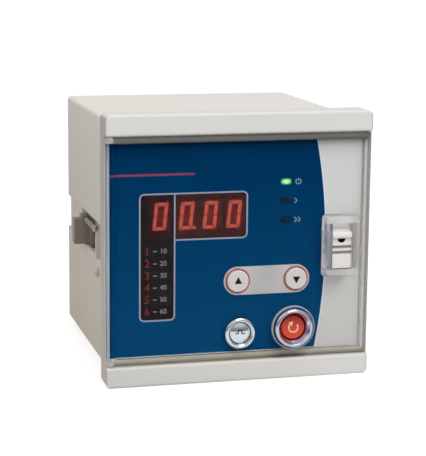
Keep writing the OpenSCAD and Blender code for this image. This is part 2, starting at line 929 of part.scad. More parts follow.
// Places of the display board's standoffs
module at_standoffs() {
    for (sx = [-1, 1], z = standoff_zs) {
        translate([sx * (display_board_w - standoff_inset), 0, z]) children();
    }
}

// Display board: carries the digits, the lamps and the key switches
module display_board() {
    color(board_green) slab(board_front, board_rear) difference() {
        rect([-display_board_w, display_board_bottom], [display_board_w, display_board_top]);
        for (sx = [-1, 1], z = standoff_zs) {
            translate([sx * (display_board_w - standoff_inset), z]) circle(board_screw_r + fit);
        }
    }
}

// Board standoffs: four posts between the panel and the display board
module board_standoffs() {
    color(panel_grey) at_standoffs() difference() {
        rod(0, 0, standoff_r, panel_rear, board_front);
        rod(0, 0, board_screw_r + run, board_front - board_screw_reach - pilot_end, board_front + past);
    }
}

// Board screws: four small screws behind the display board
module board_screws() {
    color(steel) at_standoffs() difference() {
        union() {
            rod(0, 0, board_screw_head_r, board_rear, board_rear + board_screw_head_t);
            rod(0, 0, board_screw_r, board_front - board_screw_reach, board_rear + fit);
        }
        block([-board_screw_head_r - past, board_rear + board_screw_head_t - slot_d, -slot_w / 2],
            [board_screw_head_r + past, board_rear + board_screw_head_t + past, slot_w / 2]);
    }
}

// Power board: lower board in the case's ribs, cut away round the push buttons
module power_board() {
    color(board_green) difference() {
        block([-board_half_w, boards_front, -board_face_z - board_t],
            [board_half_w, boards_rear, -board_face_z]);
        block([notch_left, boards_front - past, -board_face_z - board_t - past],
            [notch_right, notch_rear, -board_face_z + past]);
        for (sx = [-1, 1]) translate([sx * board_half_w, 0, 0]) {
            block([-rib_w, boards_front - past, -board_face_z - board_t - past],
                [rib_w, rib_front - past, -board_face_z + past]);
        }
    }
}

// Relay board: upper board in the case's ribs, with its parts hanging
module relay_board() {
    color(board_green) difference() {
        block([-board_half_w, boards_front, board_face_z],
            [board_half_w, boards_rear, board_face_z + board_t]);
        for (sx = [-1, 1]) translate([sx * board_half_w, 0, 0]) {
            block([-rib_w, boards_front - past, board_face_z - past],
                [rib_w, rib_front - past, board_face_z + board_t + past]);
        }
    }
}

// Board headers: two plug strips from the display board to the boards behind it
module board_headers() {
    color(dark_plastic) for (up = [0, 1]) mirror([0, 0, up]) {
        block([header_left, board_rear, -board_face_z],
            [header_left + header_w, board_rear + header_d, -board_face_z + header_top]);
    }
}

// Microcontroller: flat chip with leads on the rear of the display board
module microcontroller() {
    color(dark_plastic) translate([chip_x, board_rear, chip_z]) {
        translate([-chip_w / 2, 0, -chip_w / 2]) cube([chip_w, chip_t, chip_w]);
        for (turn = [0, 90, 180, 270], i = [0:lead_count - 1]) {
            rotate([0, turn, 0])
                translate([(i - (lead_count - 1) / 2) * lead_pitch - lead_w / 2, 0, chip_w / 2 - fit])
                cube([lead_w, chip_t / 2, lead_len + fit]);
        }
    }
}

// Transformer core: laminated frame with a middle leg
module transformer_core() {
    window_w = (core_w - core_middle - 2 * core_leg) / 2;
    middle = core_h / 2 - board_face_z;
    color("#6f7278") slab(transformer_y - core_t / 2, transformer_y + core_t / 2) difference() {
        translate([transformer_x, middle]) square([core_w, core_h], center = true);
        for (s = [-1, 1]) {
            translate([transformer_x + s * (core_middle + window_w) / 2, middle])
                square([window_w, core_window_h], center = true);
        }
    }
}

// Transformer coil: wound bobbin round the core's middle leg
module transformer_coil() {
    window_w = (core_w - core_middle - 2 * core_leg) / 2;
    h = core_window_h - 2 * fit;
    color("#b58a3c") translate([transformer_x, transformer_y, core_h / 2 - board_face_z - h / 2])
        linear_extrude(h) difference() {
        round_rect(core_middle + 2 * (window_w - fit), core_t + 2 * coil_wall, coil_r);
        square([core_middle + 2 * fit, core_t + 2 * fit], center = true);
    }
}

// Current transformer: taped ring on the power board
module current_transformer() {
    color("#3b4a63") translate([ct_x, boards_rear - ct_inset, -board_face_z]) rotate_extrude()
        translate([(ct_r + ct_hole_r) / 2, ct_h / 2]) round_rect(ct_r - ct_hole_r, ct_h, ct_edge_r);
}

// Capacitors: two cans with a soft top edge and a rolled groove
module capacitors() {
    e = capacitor_edge_r;
    color("#26324a") for (i = [0, 1]) {
        translate([capacitor_x + i * capacitor_pitch, boards_rear - capacitor_inset, -board_face_z])
            rotate_extrude() difference() {
            union() {
                rect([0, 0], [capacitor_r, capacitor_h - e]);
                rect([0, 0], [capacitor_r - e, capacitor_h]);
                translate([capacitor_r - e, capacitor_h - e]) circle(e);
            }
            translate([capacitor_r, capacitor_groove_z]) circle(capacitor_groove);
        }
    }
}

// Trip relay: sealed block under the relay board
module trip_relay(side) {
    color("#2b5f9e") translate([side * relay_x, boards_rear - relay_inset, board_face_z - relay_h])
        linear_extrude(relay_h) round_rect(relay_w, relay_l, relay_r);
}

// Places of the screws at the ends of both terminal strips
module at_strip_ears() {
    for (sx = [-1, 1], sz = [-1, 1]) {
        translate([sx * (strip_w / 2 + ear_w / 2), 0, sz * terminal_z]) children();
    }
}

// Terminal strip: base with barriers and a closed inner side, for the upper strip
module terminal_strip() {
    base = body_d + strip_base_t;
    color(dark_plastic) difference() {
        union() {
            block([-strip_w / 2, body_d, strip_inner_z], [strip_w / 2, base, strip_inner_z + strip_h]);
            block([-strip_w / 2, body_d, strip_inner_z],
                [strip_w / 2, body_d + barrier_d, strip_inner_z + barrier_t]);
            for (i = [0:terminal_count]) {
                x = i * terminal_pitch - strip_w / 2;
                block([x, body_d, strip_inner_z],
                    [x + barrier_t, body_d + barrier_d, strip_inner_z + strip_h]);
            }
            slab(body_d, base) translate([0, terminal_z]) round_rect(strip_w + 2 * ear_w, 2 * ear_w, ear_r);
        }
        for (x = terminal_xs) {
            rod(x, terminal_z, terminal_screw_r + run,
                base - terminal_screw_len + plate_t - pilot_end, base + past);
        }
        tail_slots(body_d - past, base + past);
        at_strip_ears() rod(0, 0, strip_screw_r + fit, body_d - past, base + past);
    }
}

module terminal_strip_top() {
    terminal_strip();
}

module terminal_strip_bottom() {
    mirror([0, 0, 1]) terminal_strip();
}

// Strip screws: four screws that hold the strips to the rear wall
module strip_screws() {
    seat = body_d + strip_base_t;
    color(steel) at_strip_ears() difference() {
        union() {
            rod(0, 0, strip_screw_head_r, seat, seat + strip_screw_head_t);
            rod(0, 0, strip_screw_r, seat - strip_screw_len + fit, seat + fit);
        }
        block([-strip_screw_head_r - past, seat + strip_screw_head_t - slot_d, -slot_w / 2],
            [strip_screw_head_r + past, seat + strip_screw_head_t + past, slot_w / 2]);
    }
}

// Terminal plates: contact plates with a tail that reaches the board inside
module terminal_plates() {
    seat = body_d + strip_base_t;
    color("#c9a455") for (up = [0, 1], x = terminal_xs) mirror([0, 0, up]) difference() {
        union() {
            block([x - plate_w / 2, seat, terminal_z - plate_h / 2],
                [x + plate_w / 2, seat + plate_t, board_face_z]);
            block([x - tail_w / 2, tail_end, board_face_z - plate_t],
                [x + tail_w / 2, seat + plate_t, board_face_z]);
        }
        rod(x, terminal_z, terminal_screw_r + fit, seat - past, seat + plate_t + past);
    }
}

// Terminal screws: one for each contact plate
module terminal_screws() {
    seat = body_d + strip_base_t + plate_t;
    color(steel) for (sz = [-1, 1], x = terminal_xs) translate([x, 0, sz * terminal_z]) difference() {
        union() {
            rod(0, 0, terminal_head_r, seat, seat + terminal_head_t);
            rod(0, 0, terminal_screw_r, seat - terminal_screw_len, seat + fit);
        }
        block([-terminal_head_r - past, seat + terminal_head_t - slot_d, -slot_w / 2],
            [terminal_head_r + past, seat + terminal_head_t + past, slot_w / 2]);
    }
}

// Clamp: foot in the pocket of the case side and a lug that carries the screw, on the right side
module clamp() {
    foot_x = body_half - clamp_pocket_d + slide;
    color("#5f5856") difference() {
        union() {
            block([foot_x, lug_y - clamp_base_ends, groove_bottom - undercut + slide],
                [foot_x + clamp_base_t, lug_y + lug_t + clamp_base_ends, groove_top + undercut - slide]);
            block([foot_x, lug_y, lug_bottom], [body_half + lug_proud, lug_y + lug_t, lug_top]);
            block([foot_x, lug_y, lug_bottom],
                [clamp_screw_x + clamp_nut, lug_y + lug_t, clamp_screw_z + clamp_nut]);
        }
        rod(clamp_screw_x, clamp_screw_z, clamp_screw_r + run, lug_y - past, lug_y + lug_t + past);
    }
}

// Clamp screw: slotted rod with a round tip that bears on the back of the panel, on the right side
module clamp_screw() {
    end = lug_y + lug_t + clamp_screw_behind;
    color("#cbbfba") difference() {
        union() {
            rod(clamp_screw_x, clamp_screw_z, clamp_screw_r, clamp_tip_y + clamp_tip_r, end);
            translate([clamp_screw_x, clamp_tip_y + clamp_tip_r, clamp_screw_z]) sphere(clamp_tip_r);
        }
        block([clamp_screw_x - past, end - slot_d, clamp_screw_z - screw_slot_w / 2],
            [clamp_screw_x + past, end + past, clamp_screw_z + screw_slot_w / 2]);
    }
}

case();
bezel();
case_screws();
front_panel();
panel_film();
display_window();
digit(0);  // digit_1
digit(1);  // digit_2
digit(2);  // digit_3
digit(3);  // digit_4
lit_segments();
dark_segments();
color("#9cd5ab") lamp(1);  // supply_lamp
color("#26231f") lamp(0);  // pickup_lamp
color("#26231f") lamp(-1);  // trip_lamp
key_pad();
key(up_key_x);  // up_key
key(down_key_x);  // down_key
key_switches();
test_ring();
test_button();
test_nut();
test_switch();
reset_ring();
reset_button();
reset_nut();
reset_switch();
cover();
latch();
display_board();
board_standoffs();
board_screws();
power_board();
relay_board();
board_headers();
microcontroller();
transformer_core();
transformer_coil();
current_transformer();
capacitors();
trip_relay(-1);  // trip_relay_1
trip_relay(1);  // trip_relay_2
terminal_strip_top();
terminal_strip_bottom();
strip_screws();
terminal_plates();
terminal_screws();
mirror([1, 0, 0]) clamp();  // clamp_left
clamp();  // clamp_right
mirror([1, 0, 0]) clamp_screw();  // clamp_screw_left
clamp_screw();  // clamp_screw_right
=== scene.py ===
# %% [markdown]
# # A panel relay with a clear hinged cover
# The relay is a grey moulded box behind a square bezel. Its front carries a printed film, a tinted
# display, two keys and two chromed push buttons, and a clear cover swings over all of them.
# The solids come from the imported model, so this lesson gives them their finishes and adds the printed
# marks and the turned and moulded pieces whose soft edges catch the light.

# %% Load the frame
import math
from functools import reduce

import bmesh
import bpy
from mathutils import Matrix, Vector


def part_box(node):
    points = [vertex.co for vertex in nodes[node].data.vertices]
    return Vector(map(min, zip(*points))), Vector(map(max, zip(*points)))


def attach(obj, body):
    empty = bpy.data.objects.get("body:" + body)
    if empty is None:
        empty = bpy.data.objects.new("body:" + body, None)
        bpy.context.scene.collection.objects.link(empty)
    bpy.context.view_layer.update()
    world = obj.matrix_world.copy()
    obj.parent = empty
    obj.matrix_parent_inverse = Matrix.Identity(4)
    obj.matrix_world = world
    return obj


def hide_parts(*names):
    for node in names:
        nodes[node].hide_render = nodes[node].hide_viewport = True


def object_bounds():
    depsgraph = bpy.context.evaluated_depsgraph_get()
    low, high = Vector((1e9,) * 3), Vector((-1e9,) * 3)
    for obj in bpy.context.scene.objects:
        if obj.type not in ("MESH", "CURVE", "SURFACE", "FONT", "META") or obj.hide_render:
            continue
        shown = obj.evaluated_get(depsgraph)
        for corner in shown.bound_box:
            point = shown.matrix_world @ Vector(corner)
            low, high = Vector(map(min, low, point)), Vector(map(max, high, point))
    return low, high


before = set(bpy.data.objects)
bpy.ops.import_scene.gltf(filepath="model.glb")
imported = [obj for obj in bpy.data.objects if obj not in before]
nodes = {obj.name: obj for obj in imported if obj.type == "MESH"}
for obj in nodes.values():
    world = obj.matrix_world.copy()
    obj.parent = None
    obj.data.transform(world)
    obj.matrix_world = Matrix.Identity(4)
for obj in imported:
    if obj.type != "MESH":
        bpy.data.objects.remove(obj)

cad_low, cad_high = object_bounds()
MM = 0.001
print("frame:", len(nodes), "solids,", [round(v / MM, 1) for v in cad_high - cad_low], "mm")

# %% [markdown]
# ## Camera
# The camera's angle and distance were worked out from the straight edges of the bezel in the photograph.
# Building the matrix from three directions is exact, where a tracking constraint would lose the small roll.

# %% Camera
YAW, PITCH, ROLL = math.radians(14.63), math.radians(10.55), math.radians(0.51)
DISTANCE = 543.5 * MM
FOCAL_PIXELS, IMAGE_HEIGHT, SENSOR = 1561, 456, 36
aim = Vector((-10.09, -10, 7.91)) * MM
forward = Vector((math.sin(YAW) * math.cos(PITCH), math.cos(YAW) * math.cos(PITCH), -math.sin(PITCH)))
sideways = Vector((math.cos(YAW), -math.sin(YAW), 0))
upright = sideways.cross(forward)
right = math.cos(ROLL) * sideways + math.sin(ROLL) * upright
up = math.cos(ROLL) * upright - math.sin(ROLL) * sideways

lens = bpy.data.cameras.new("camera")
lens.sensor_fit = "VERTICAL"
lens.sensor_height = SENSOR
lens.lens = FOCAL_PIXELS * SENSOR / IMAGE_HEIGHT
camera = bpy.data.objects.new("camera", lens)
facing = Matrix((right, up, -forward)).transposed().to_4x4()
camera.matrix_world = Matrix.Translation(aim - DISTANCE * forward) @ facing
bpy.context.scene.collection.objects.link(camera)
bpy.context.scene.camera = camera
print("lens:", round(lens.lens, 1), "mm")

# %% [markdown]
# ## Writing shaders as sums
# A finish is a small calculation at every point of a surface. The class below wraps a socket, so that
# `1 - mask` or `depth * 0.2` adds the right Math node, and its one method `node` makes any other node.
# Settings come before the sockets, because a setting can change which sockets a node has.


# %% Shader expressions
class Tone:
    def __init__(self, tree, socket=None):
        self.tree, self.socket = tree, socket

    def node(self, kind, settings=None, sockets=None, out=0):
        made = self.tree.nodes.new("ShaderNode" + kind)
        for key, value in (settings or {}).items():
            setattr(made, key, value)
        for key, value in (sockets or {}).items():
            if isinstance(value, Tone):
                self.tree.links.new(value.socket, made.inputs[key])
            else:
                made.inputs[key].default_value = value
        return Tone(self.tree, made.outputs[out] if made.outputs else None)

    def sum(self, operation, *values):
        return self.node("Math", {"operation": operation}, dict(enumerate(values)))

    def __add__(self, other):
        return self.sum("ADD", self, other)

    def __radd__(self, other):
        return self.sum("ADD", other, self)

    def __sub__(self, other):
        return self.sum("SUBTRACT", self, other)

    def __rsub__(self, other):
        return self.sum("SUBTRACT", other, self)

    def __mul__(self, other):
        return self.sum("MULTIPLY", self, other)

    def __rmul__(self, other):
        return self.sum("MULTIPLY", other, self)

    def __truediv__(self, other):
        return self.sum("DIVIDE", self, other)

    def __lt__(self, other):
        return self.sum("LESS_THAN", self, other)

    def __gt__(self, other):
        return self.sum("GREATER_THAN", self, other)

    def __abs__(self):
        return self.sum("ABSOLUTE", self)

    def most(self, other):
        return self.sum("MAXIMUM", self, other)

    def clamp(self):
        return self.node("Clamp", None, {"Value": self})

    def mix(self, first, second):
        return self.node("Mix", {"data_type": "RGBA"}, {0: self, 6: first, 7: second}, 2)


# %% [markdown]
# ## Helpers for finishes
# Most finishes need the same few steps: a colour as it is seen on a screen, coordinates to read, some
# noise, a relief and a shader at the end. They could be built by hand for every finish, but written once
# here, each finish below reads as a short list of what makes it differ from the others.


# %% Helpers for finishes
def rgb(red, green, blue):
    def linear(value):
        value /= 255
        return value / 12.92 if value <= 0.04045 else ((value + 0.055) / 1.055) ** 2.4
    return (linear(red), linear(green), linear(blue), 1)


def begin(name):
    material = bpy.data.materials.new(name)
    material.use_nodes = True
    material.node_tree.nodes.clear()
    return material, Tone(material.node_tree).node("TexCoord", out="Object")


def noise(place, per_metre, detail=2):
    return place.node("TexNoise", None, {"Vector": place, "Scale": per_metre, "Detail": detail}, "Fac")


def surface(material, place, values):
    shader = place.node("BsdfPrincipled", None, values)
    place.node("OutputMaterial", None, {"Surface": shader})
    return material


def relief(place, height, strength, depth_mm, soft_mm=0.0):
    sockets = {"Strength": strength, "Distance": depth_mm * MM, "Height": height}
    if soft_mm:
        sockets["Normal"] = place.node("Bevel", {"samples": 6}, {"Radius": soft_mm * MM})
    return place.node("Bump", None, sockets, "Normal")


def dress(finish, *names):
    for name in names:
        nodes[name].data.materials.clear()
        nodes[name].data.materials.append(finish)
    print(finish.name, "on", len(names), "solids")


print("a screen's middle grey is", round(rgb(128, 128, 128)[0], 3), "in linear light")

# %% [markdown]
# ## Moulded plastics
# Case, bezel and small mouldings come out of an etched mould, which leaves a fine matt grain and a very
# slight change of tone over the wall. A painted texture could show that, but noise on the object's own
# coordinates needs no unwrapping and keeps one grain size on every face. A Bevel node rounds the light
# at the edges, as a mould's small radii do.


# %% Moulded finishes
def mottle(place):
    return noise(place, 22, 3)


def moulding(material, place, colour, tone, grain, rough, depth_mm, soft_mm, shine=0.5):
    return surface(material, place, {
        "Base Color": colour, "Specular IOR Level": shine,
        "Roughness": rough + 0.16 * (grain - 0.5) + 0.1 * (tone - 0.5),
        "Normal": relief(place, grain, 0.35, depth_mm, soft_mm)})


def moulded(name, dark, light, rough, grain_mm, depth_mm, soft_mm, shine=0.5):
    material, place = begin(name)
    tone, grain = mottle(place), noise(place, 1 / (grain_mm * MM))
    return moulding(material, place, tone.mix(dark, light), tone, grain, rough, depth_mm, soft_mm, shine)


panel_grey = moulded("panel_plate", rgb(190, 189, 187), rgb(200, 199, 198), 0.5, 0.35, 0.02, 0.3)
black_moulding = moulded("black_moulding", rgb(36, 36, 38), rgb(48, 48, 50), 0.46, 0.3, 0.03, 0.3)
relay_blue = moulded("relay_blue", rgb(38, 88, 150), rgb(46, 100, 164), 0.4, 0.3, 0.02, 0.4)
clamp_grey = moulded("clamp_grey", rgb(122, 115, 108), rgb(138, 131, 123), 0.5, 0.4, 0.04, 0.35)
key_plastic = moulded("key_plastic", rgb(208, 199, 196), rgb(216, 208, 205), 0.34, 0.25, 0.01, 0.3)

dress(panel_grey, "front_panel", "board_standoffs")
dress(black_moulding, "terminal_strip_top", "terminal_strip_bottom", "digit_1", "digit_2", "digit_3",
      "digit_4", "key_switches", "test_switch", "reset_switch", "board_headers", "microcontroller")
dress(relay_blue, "trip_relay_1", "trip_relay_2")
dress(clamp_grey, "clamp_left", "clamp_right")
dress(key_plastic, "up_key", "down_key")

# %% [markdown]
# ## Case and bezel
# Both are the same grey moulding, with painted shade in two places. The case is painted darker and warmer
# towards its foot, and the bezel's two outer side faces are painted darker, as shade falls on them. Such shade
# could be painted on an image, but here each is a mask from one coordinate, which follows the solids if their
# size changes: the height in the case, and the distance to the side faces of the bezel.


# %% Case and bezel finishes
def box_mm(name):
    return [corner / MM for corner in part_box(name)]


def spread(place):
    parts = place.node("SeparateXYZ", None, {0: place})
    return [Tone(place.tree, socket) / MM for socket in parts.socket.node.outputs]


def aged(name, mask_of, dark, light, shade_colour):
    material, place = begin(name)
    tone, grain = mottle(place), noise(place, 2860)
    # painted shade: the colour turns to the darker, warmer shade colour where the mask is high
    painted_shade = (mask_of(*spread(place)) + (tone - 0.5) * 0.2).clamp()
    return moulding(material, place, painted_shade.mix(tone.mix(dark, light), shade_colour), tone, grain, 0.5, 0.02, 0.45)


SHADED_EDGE, SHADE_FADE = 0.55, 0.4
bezel_side = box_mm("bezel")[1].x
case_foot, case_top = (corner.z for corner in box_mm("case"))
# painted shade: the case is darker and warmer towards its foot
shell = aged("shell_grain", lambda x, y, z: (case_top - z) / (case_top - case_foot),
             rgb(217, 214, 207), rgb(224, 221, 214), rgb(194, 184, 168))
# painted shade: the bezel is darker on its two outer side faces
bezel_grain = aged("bezel_grain", lambda x, y, z: (abs(x) - bezel_side + SHADED_EDGE) / SHADE_FADE,
                   rgb(208, 207, 203), rgb(215, 214, 210), rgb(180, 175, 168))
dress(shell, "case")
dress(bezel_grain, "bezel")

# %% [markdown]
# ## Latch
# The latch is the same kind of moulding, with painted shade in the grooves of its grip and a dark painted
# shade inside its seal hole. Both lie deeper than the face, so a comparison of depth finds them.


# %% Latch finish
def centre(name):
    low, high = box_mm(name)
    return (low + high) / 2


def within(value, low, high):
    return (value > low) * (value < high)


LEDGE, GROOVE_START, GROOVE_FADE, GROOVE_END = 0.6, 0.12, 0.25, 0.9
GRIP_LOW, GRIP_HIGH = -3.1, 0.4
HOLE_LOW, HOLE_HIGH, HOLE_HALF, HOLE_START = 1.0, 2.7, 1.55, 0.55
latch_x, latch_face = centre("latch").x, box_mm("latch")[0].y + LEDGE
material, place = begin("pale_moulding")
x, y, z = spread(place)
tone, grain, depth = mottle(place), noise(place, 3300), y - latch_face
groove = ((depth - GROOVE_START) / GROOVE_FADE).clamp() * within(z, GRIP_LOW, GRIP_HIGH) * (depth < GROOVE_END)
hole_shade = (depth > HOLE_START) * within(z, HOLE_LOW, HOLE_HIGH) * (abs(x - latch_x) < HOLE_HALF)
bare = tone.mix(rgb(217, 213, 211), rgb(226, 223, 221))
# painted shade: the grip's grooves and the inside of the seal hole are painted dark
shaded_grip = (groove * 0.9).mix(bare, rgb(128, 123, 117))
dress(moulding(material, place, hole_shade.mix(shaded_grip, rgb(34, 31, 28)), tone, grain, 0.36, 0.01, 0.35), "latch")

# %% [markdown]
# ## Printed film
# The film is one sheet with a blue field that ends in a wide arc, a grey field beside it and a thin red
# stripe. Each printed edge is a comparison of coordinates, so it stays sharp at any distance, which an
# image would not. A satin roughness and a faint ripple keep the sheet from looking like paint.


# %% Printed film
def sway(place, per_metre, amount, detail=2):
    return (noise(place, per_metre, detail) - 0.5) * amount


def near(x, z, at_x, at_z):
    across, along = x - at_x, z - at_z
    square = across * across + along * along
    return square.sum("SQRT", square)


ARC_X, ARC_Z, ARC_RADIUS, ARC_EDGE = -164.5, -1.0, 197.0, 0.35
STRIPE_LOW, STRIPE_HIGH, STRIPE_END = 26.2, 27.0, -15.8
FADE_TOP, FADE_HEIGHT = 32, 70
material, place = begin("printed_film")
x, y, z = spread(place)
# painted shade and light: the blue field is painted darker at the top, for the top rail's shadow, and lighter
# towards the bottom, and the grey field darker towards the bottom
painted_light_fade = ((FADE_TOP - z) / FADE_HEIGHT + sway(place, 60, 0.3, 3)).clamp()
blue = painted_light_fade.mix(rgb(0, 50, 90), rgb(4, 68, 112))
grey = painted_light_fade.mix(rgb(213, 210, 208), rgb(202, 198, 194))
from_arc = near(x, z, ARC_X, ARC_Z) - ARC_RADIUS
field = within(from_arc, 0, ARC_EDGE).mix((from_arc < 0).mix(grey, blue), rgb(216, 224, 232))
stripe = within(z, STRIPE_LOW, STRIPE_HIGH) * (x < STRIPE_END)
film = surface(material, place, {
    "Base Color": stripe.mix(field, rgb(134, 62, 82)),
    "Roughness": 0.5 + sway(place, 900, 0.1), "Specular IOR Level": 0.0,
    "Normal": relief(place, noise(place, 260), 0.12, 0.02)})
dress(film, "panel_film")

# %% [markdown]
# ## Tinted window
# The display sits behind smoked plastic. The light of its segments spreads a little in the plate, so the
# plate itself glows faintly red close to each digit. The plate is see-through by a plain Alpha, which
# needs fewer samples than real refraction.

# %% Tinted window
HALO_X, HALO_Z = 6.0, 9.0
digits = [centre(f"digit_{i}") for i in (1, 2, 3, 4)]
digit_z = digits[0].z
divider_x = (box_mm("digit_1")[1].x + box_mm("digit_2")[0].x) / 2
material, place = begin("tinted_window")
x, y, z = spread(place)
glow = reduce(Tone.most, [(1 - (abs(x - digit.x) / HALO_X).most(abs(z - digit_z) / HALO_Z)).clamp()
                          for digit in digits])
window = surface(material, place, {
    "Base Color": (x > divider_x).mix(rgb(34, 27, 30), rgb(56, 36, 35)), "Alpha": 0.62,
    "Roughness": 0.12 + noise(place, 120) * 0.06, "Specular IOR Level": 0.08,
    "Emission Color": (glow * glow).mix((0, 0, 0, 1), (0.15, 0.009, 0.006, 1)), "Emission Strength": 1.0})
dress(window, "display_window")

# %% [markdown]
# ## Lit and dark segments
# A segment is a small light guide over a diode, so it is brighter in some places than in others. Emission
# on the piece itself shows that, where a lamp behind it would need many more samples. The segments and
# lamps that are off stay dark plastic.


# %% Glowing pieces
def glowing(name, body, rim, core, strength, per_metre):
    material, place = begin(name)
    patch = noise(place, per_metre)
    return surface(material, place, {
        "Base Color": patch.mix(body, rim), "Roughness": 0.35 + patch * 0.1,
        "Emission Color": patch.mix(rim, core), "Emission Strength": strength})


lit_red = glowing("lit_red", rgb(150, 40, 34), rgb(255, 98, 80), rgb(255, 122, 102), 2.8, 420)
unlit = moulded("unlit_lamp", rgb(8, 34, 54), rgb(12, 42, 64), 0.5, 0.4, 0.01, 0.2, 0.05)
dark_bar = moulded("dark_bar", rgb(30, 26, 24), rgb(42, 37, 34), 0.45, 0.4, 0.01, 0.1)
dress(lit_red, "lit_segments")
dress(unlit, "pickup_lamp", "trip_lamp")
dress(dark_bar, "dark_segments")

# %% [markdown]
# ## Green lamp
# The supply lamp is the one that is lit. Its diode sits behind the middle, so the light falls off towards
# the lamp's edge. A gradient texture could draw that, but it would have to be fitted to the lamp: the square
# of the distance from the middle, measured in half widths, fits any lamp.

# %% Green lamp
lamp_low, lamp_high = box_mm("supply_lamp")
lamp_middle, lamp_half = (lamp_low + lamp_high) / 2, (lamp_high - lamp_low) / 2
material, place = begin("lit_green")
x, y, z = spread(place)
off_x, off_z = (x - lamp_middle.x) / lamp_half.x, (z - lamp_middle.z) / lamp_half.z
core = (1 - (off_x * off_x + off_z * off_z) * 1.05 + sway(place, 500, 0.2)).clamp()
lit_green = surface(material, place, {
    "Base Color": core.mix(rgb(16, 84, 48), rgb(84, 160, 90)), "Roughness": 0.3 + noise(place, 900) * 0.1,
    "Emission Color": core.mix(rgb(20, 118, 58), rgb(186, 240, 178)), "Emission Strength": 0.9})
dress(lit_green, "supply_lamp")

# %% [markdown]
# ## Key pad
# Both keys stand in one pill-shaped pad, printed grey between the keys, paler round them, with a thin
# pinkish ring at each key. Thin meshes would do for the rings, but this print lies under the pad's skin, so
# it belongs in the finish: a ring is a distance from a key's centre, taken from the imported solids.

# %% Key pad
RING_IN, RING_OUT, PAD_FADE = 4.2, 4.7, 9
keys = {name: centre(name) for name in ("up_key", "down_key")}
key_z = keys["up_key"].z
pad_x = (keys["up_key"].x + keys["down_key"].x) / 2
material, place = begin("printed_pad")
x, y, z = spread(place)
between = ((1 - abs(x - pad_x) / PAD_FADE).clamp() + sway(place, 300, 0.12)).clamp()
rings = reduce(Tone.most, [within(near(x, z, key.x, key_z), RING_IN, RING_OUT) for key in keys.values()])
pad = surface(material, place, {
    "Base Color": rings.mix(between.mix(rgb(194, 187, 185), rgb(178, 176, 175)), rgb(206, 112, 108)),
    "Roughness": 0.4 + sway(place, 800, 0.1),
    "Normal": relief(place, noise(place, 1500), 0.15, 0.02, 0.15)})
dress(pad, "key_pad")

# %% [markdown]
# ## Metals
# The two push buttons are chromed, the screws are zinc plated and the contact plates are brass. Metal
# shows what is round it, so its colour hardly changes over the surface and its roughness does, in faint
# wiping marks. One function makes them all, since they differ in colour, roughness and spots alone.


# %% Metal finishes
def metal(name, dark, light, rough, spots, soft_mm=0.15):
    material, place = begin(name)
    wiped = noise(place, spots, 4)
    return surface(material, place, {
        "Base Color": wiped.mix(dark, light), "Metallic": 1.0,
        "Roughness": rough + (wiped - 0.5) * 0.12,
        "Normal": relief(place, wiped, 0.05, 0.01, soft_mm)})


chrome = metal("chrome", rgb(214, 217, 222), rgb(232, 234, 238), 0.12, 240)
# painted reflection: the reset ring's chrome is painted darker and bluer, for the blue film that it reflects
reset_chrome_painted_blue = metal("reset_chrome_painted_blue", rgb(178, 179, 200), rgb(200, 201, 220), 0.14, 240)
zinc = metal("zinc_plate", rgb(178, 180, 184), rgb(206, 208, 212), 0.32, 700)
brass = metal("brass_plate", rgb(186, 150, 78), rgb(212, 178, 100), 0.3, 600)
clamp_rod = metal("clamp_rod", rgb(160, 152, 142), rgb(182, 174, 163), 0.5, 500)
dress(chrome, "test_ring", "test_button")
dress(reset_chrome_painted_blue, "reset_ring")
dress(zinc, "case_screws", "board_screws", "test_nut", "reset_nut", "strip_screws", "terminal_screws")
dress(brass, "terminal_plates")
dress(clamp_rod, "clamp_screw_left", "clamp_screw_right")

# %% [markdown]
# ## Red cap
# The reset cap is glossy red plastic under a clear coat. Its colour leans to orange where light enters
# at the lower edge. Scattering inside the plastic would show that too, but slowly, so here the tone simply
# follows the height across the cap.

# %% Red cap
CAP_SPAN = 9
material, place = begin("red_cap")
x, y, z = spread(place)
lean = ((z - centre("reset_button").z) / CAP_SPAN + 0.5 + sway(place, 200, 0.1)).clamp()
red_cap = surface(material, place, {
    "Base Color": lean.mix(rgb(226, 74, 40), rgb(158, 36, 26)),
    "Roughness": 0.26 + sway(place, 600, 0.08),
    "Coat Weight": 0.25, "Coat Roughness": 0.08, "Specular IOR Level": 0.3})
dress(red_cap, "reset_button")

# %% [markdown]
# ## Inside the case
# Boards, transformer, capacitors and relays are hidden at rest, but they belong to the part. A board gets
# tracks under its resist, the core its laminations and the coil its tape, each from one banded texture.


# %% Inner finishes
def banded(name, dark, light, axis, pitch_mm, rough, depth_mm):
    material, place = begin(name)
    waves = {"Vector": place, "Scale": 0.314 / (pitch_mm * MM), "Distortion": 0.4, "Detail": 1.0}
    band = place.node("TexWave", {"wave_type": "BANDS", "bands_direction": axis}, waves, "Fac")
    return surface(material, place, {
        "Base Color": band.mix(dark, light), "Roughness": rough + sway(place, 500, 0.15),
        "Normal": relief(place, band, 0.4, depth_mm, 0.2)})


resist = banded("solder_resist", rgb(34, 92, 56), rgb(48, 112, 72), "DIAGONAL", 2.4, 0.32, 0.03)
laminations = banded("laminations", rgb(92, 94, 99), rgb(122, 124, 130), "Y", 0.7, 0.45, 0.05)
tape = banded("coil_tape", rgb(166, 124, 52), rgb(196, 154, 74), "Z", 3.2, 0.38, 0.06)
sleeve = banded("capacitor_sleeve", rgb(34, 44, 66), rgb(44, 56, 82), "Z", 5.0, 0.3, 0.02)
dress(resist, "display_board", "power_board", "relay_board")
dress(laminations, "transformer_core")
dress(tape, "transformer_coil")
dress(sleeve, "current_transformer", "capacitors")

# %% [markdown]
# ## Clear cover
# The cover is clear moulded plastic about 2 mm thick, with turned-back walls, a hood round its latch and a
# hole for the reset button. These places differ in finish, and the cover is one solid, so each is found by
# a mask from coordinates instead of by a material on chosen faces, which a new pack would renumber.

